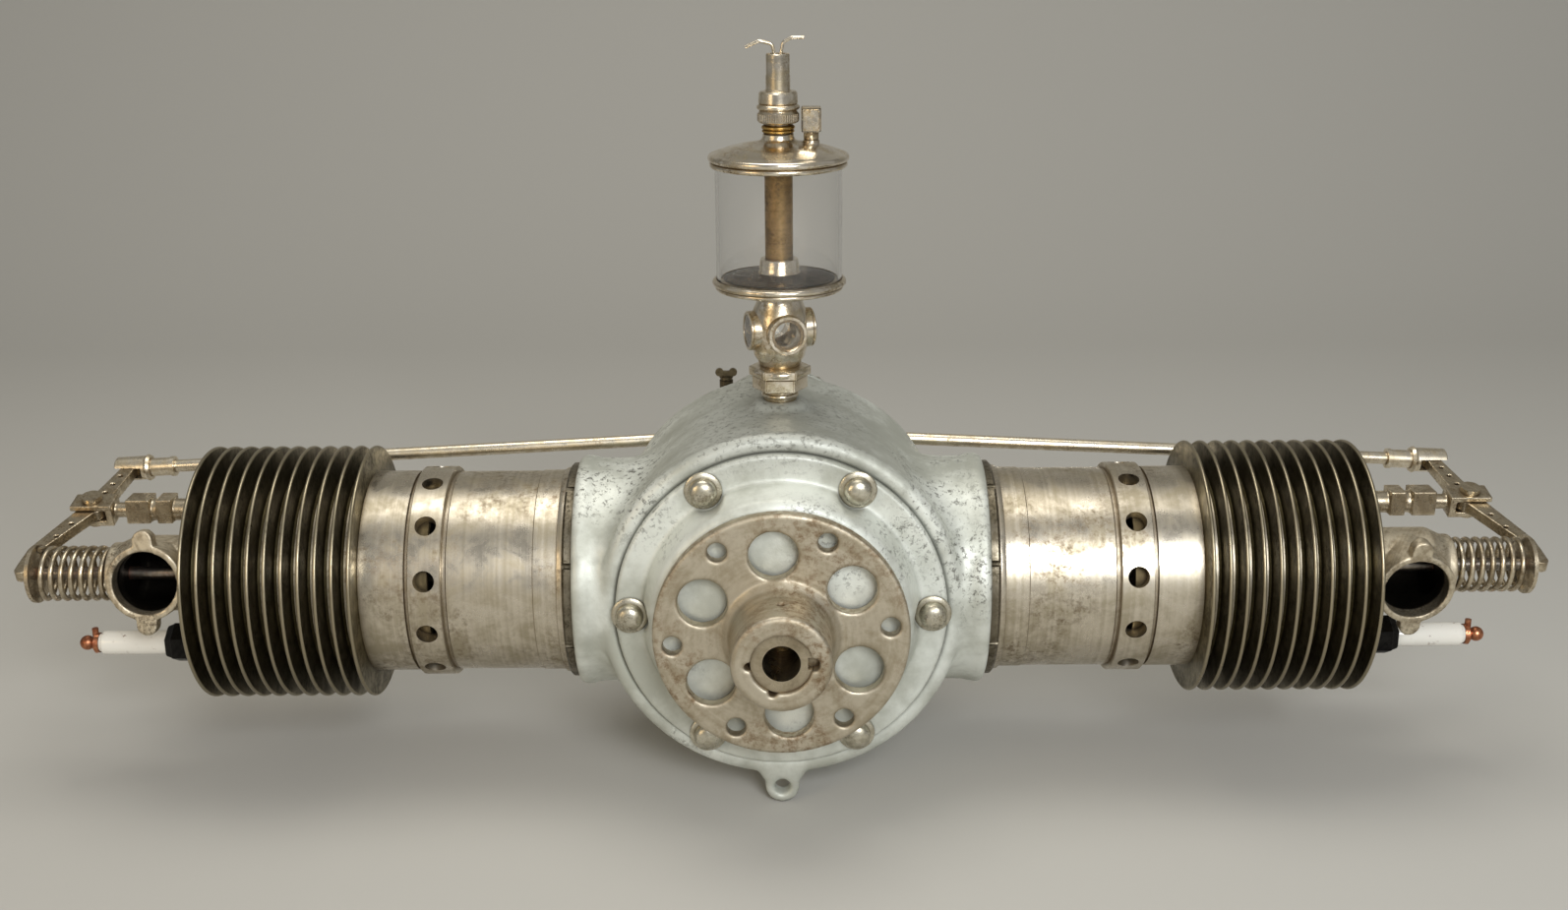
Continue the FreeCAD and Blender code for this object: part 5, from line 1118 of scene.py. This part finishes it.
@dataclass
class Plugs:
    """Spark plugs: a blackened hexagon with a shoulder below the glazed porcelain."""

    face: float = HEAD_FACE
    porcelain_end: float = 482.0

    def build(self) -> None:
        """Make both porcelains and their gland nuts."""
        face, end = self.face, self.porcelain_end
        profile = [(face - 11, 1.5), (face - 11, 6.45), (face + 26, 6.45), (face + 26, 8.2)]
        profile += [(face + 27, 8.6), (end - 38, 8.6), (end - 6, 8.5)] + arc(end - 3.5, 7.0, 1.5, 10, 90, 6)
        profile += [(end - 1.4, 6.9), (end, 6.3), (end, 1.5)]
        nut = [(face + 16.1, 12.9), (face + 16.1, 14.1), (face + 16.6, 14.5), (face + 29.5, 14.5),
               (face + 30.6, 13.6), (face + 34, 12.2), (face + 35, 10.9), (face + 35, 10.2),
               (face + 26.4, 10.2), (face + 26.4, 12.9)]
        places = {side: along(Axis.X, (0, *PLUG_AT), sign) for side, sign in SIDES}
        parts = [piece("porcelain_" + side, turned(profile, 72), place) for side, place in places.items()]
        stand_for(joined("porcelains", parts), WHITE, "engine", "spark_plug_insulators")
        for side, place in places.items():
            stand_for(piece("plug_gland_nut_" + side, turned(nut, 6), place), BLACK_STEEL, "engine")


@dataclass
class CoverBolts:
    """Dome-headed bolts on dished washers round the front cover, set out by a geometry tree."""

    circle_r: float = 100.0
    seat_y: float = -84.0
    count: int = 6

    def tree(self) -> Tree:
        """Copies of one bolt round a circle about Y."""
        tree, given = new_tree("bolt_circle", Count=6, Radius=0.1)
        ring = put(tree, "GeometryNodeMeshCircle", {"Vertices": given["Count"], "Radius": given["Radius"]})
        turned_up = put(tree, "GeometryNodeTransform", {"Geometry": ring,
                                                        "Rotation": (math.pi / 2, 0.0, 0.0)})
        rows = put(tree, "GeometryNodeInstanceOnPoints", {"Points": turned_up, "Instance": given["Geometry"]})
        return close_tree(tree, rows, BOLT_STEEL)

    def build(self) -> None:
        """Make the bolts."""
        profile = [(-15, 0), (-15, 4), (0, 4), (0, 11.8)] + arc(0.9, 11.6, 0.9, -60, 80, 5)
        profile += [(2.3, 10.4), (2.5, 9.2), (3.0, 9.0), (5.6, 9.0), (7.4, 8.6), (8.9, 7.2), (9.9, 5.0),
                    (10.4, 2.6), (10.5, 0)]
        mesh = as_mesh("cover_bolt", turned(profile, 48))
        mesh.transform(along(Axis.Y, (0, self.seat_y, 0), -1))
        made = grown(self.tree(), "front_cover_bolts_domed",
                     {"Count": self.count, "Radius": self.circle_r * MM}, mesh)
        stand_for(made, BOLT_STEEL, "engine", "front_cover_bolts")


@dataclass
class Studio:
    """Pale sweep, soft lamps and the camera in front, looking down on the hub."""

    eye: tuple[float, float, float] = (0.0024, -1.153, 0.453)
    pitch_down: float = 17.78
    roll: float = -0.37
    focal_mm: float = 40.19
    floor_z: float = -0.1432
    floor_colour: str = "#B9B7B1"
    surround: str = "#C9C9C6"
    surround_strength: float = 0.5
    half_width: float = 5.0
    bend_start: float = 1.2
    bend_r: float = 1.0
    aim: tuple[float, float, float] = (0.0, 0.0, 0.05)

    def floor(self) -> None:
        """A floor that sweeps up into a backdrop."""
        bm = bmesh.new()
        rows = [(-4.0, self.floor_z), (self.bend_start, self.floor_z)]
        rows += [(self.bend_start + self.bend_r * math.sin(t), self.floor_z + self.bend_r * (1 - math.cos(t)))
                 for t in [math.radians(7.5 * k) for k in range(1, 13)]]
        rows.append((self.bend_start + self.bend_r, 4.0))
        left, right = ([bm.verts.new((x, y, z)) for y, z in rows]
                       for x in (-self.half_width, self.half_width))
        for k in range(len(rows) - 1):
            bm.faces.new((left[k], right[k], right[k + 1], left[k + 1])).smooth = True
        sweep = linked("sweep", as_mesh("sweep", bm))
        paper = bpy.data.materials.new("pale_paper")
        paper.use_nodes = True
        shader = paper.node_tree.nodes["Principled BSDF"]
        shader.inputs["Base Color"].default_value = linear(self.floor_colour)
        shader.inputs["Roughness"].default_value = 0.9
        sweep.data.materials.append(paper)

    def lamp(self, name: str, at: tuple[float, float, float], size: float, power: float, colour: str) -> None:
        """One square soft lamp aimed at the engine."""
        light = bpy.data.lights.new(name, "AREA")
        light.shape = "SQUARE"
        light.size = size
        light.energy = power
        light.color = linear(colour)[:3]
        lamp = linked(name, light)
        lamp.location = at
        lamp.rotation_euler = (Vector(self.aim) - Vector(at)).to_track_quat("-Z", "Y").to_euler()

    def camera(self) -> None:
        """The camera in front, looking down on the hub."""
        data = bpy.data.cameras.new("camera")
        data.sensor_width = 36.0
        data.lens = self.focal_mm
        camera = linked("camera", data)
        tilt = Matrix.Rotation(math.radians(90 - self.pitch_down), 4, "X")
        turn = Matrix.Rotation(math.radians(self.roll), 4, "Z")
        camera.matrix_world = Matrix.Translation(self.eye) @ tilt @ turn
        bpy.context.scene.camera = camera

    def world(self) -> None:
        """An even pale surround."""
        world = bpy.data.worlds.new("surround")
        world.use_nodes = True
        ground = world.node_tree.nodes["Background"]
        ground.inputs["Color"].default_value = linear(self.surround)
        ground.inputs["Strength"].default_value = self.surround_strength
        bpy.context.scene.world = world

    def build(self) -> None:
        """Put up the studio."""
        self.floor()
        self.world()
        self.lamp("key", (0.55, -2.05, 1.12), 0.9, 40.0, "#FBFDFF")
        self.lamp("warm_side", (-1.7, -1.7, 0.75), 0.9, 8.0, "#FFE2B4")
        self.lamp("overhead", (-0.1, 0.15, 1.9), 1.2, 15.0, "#FFFBF2")
        self.camera()
        bpy.context.scene.view_settings.view_transform = "Standard"


def main() -> None:
    """Build the sub-assemblies in order and report each."""
    logging.basicConfig(level=logging.INFO, format="%(message)s")
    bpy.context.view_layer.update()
    BareNodes().dress()
    LOG.info("dressed %d construction nodes", len(NODES))
    for part in (Castings, Cylinders, Springs, Oiler, Plugs, CoverBolts, Studio):
        part().build()


if __name__ == "__main__":
    main()
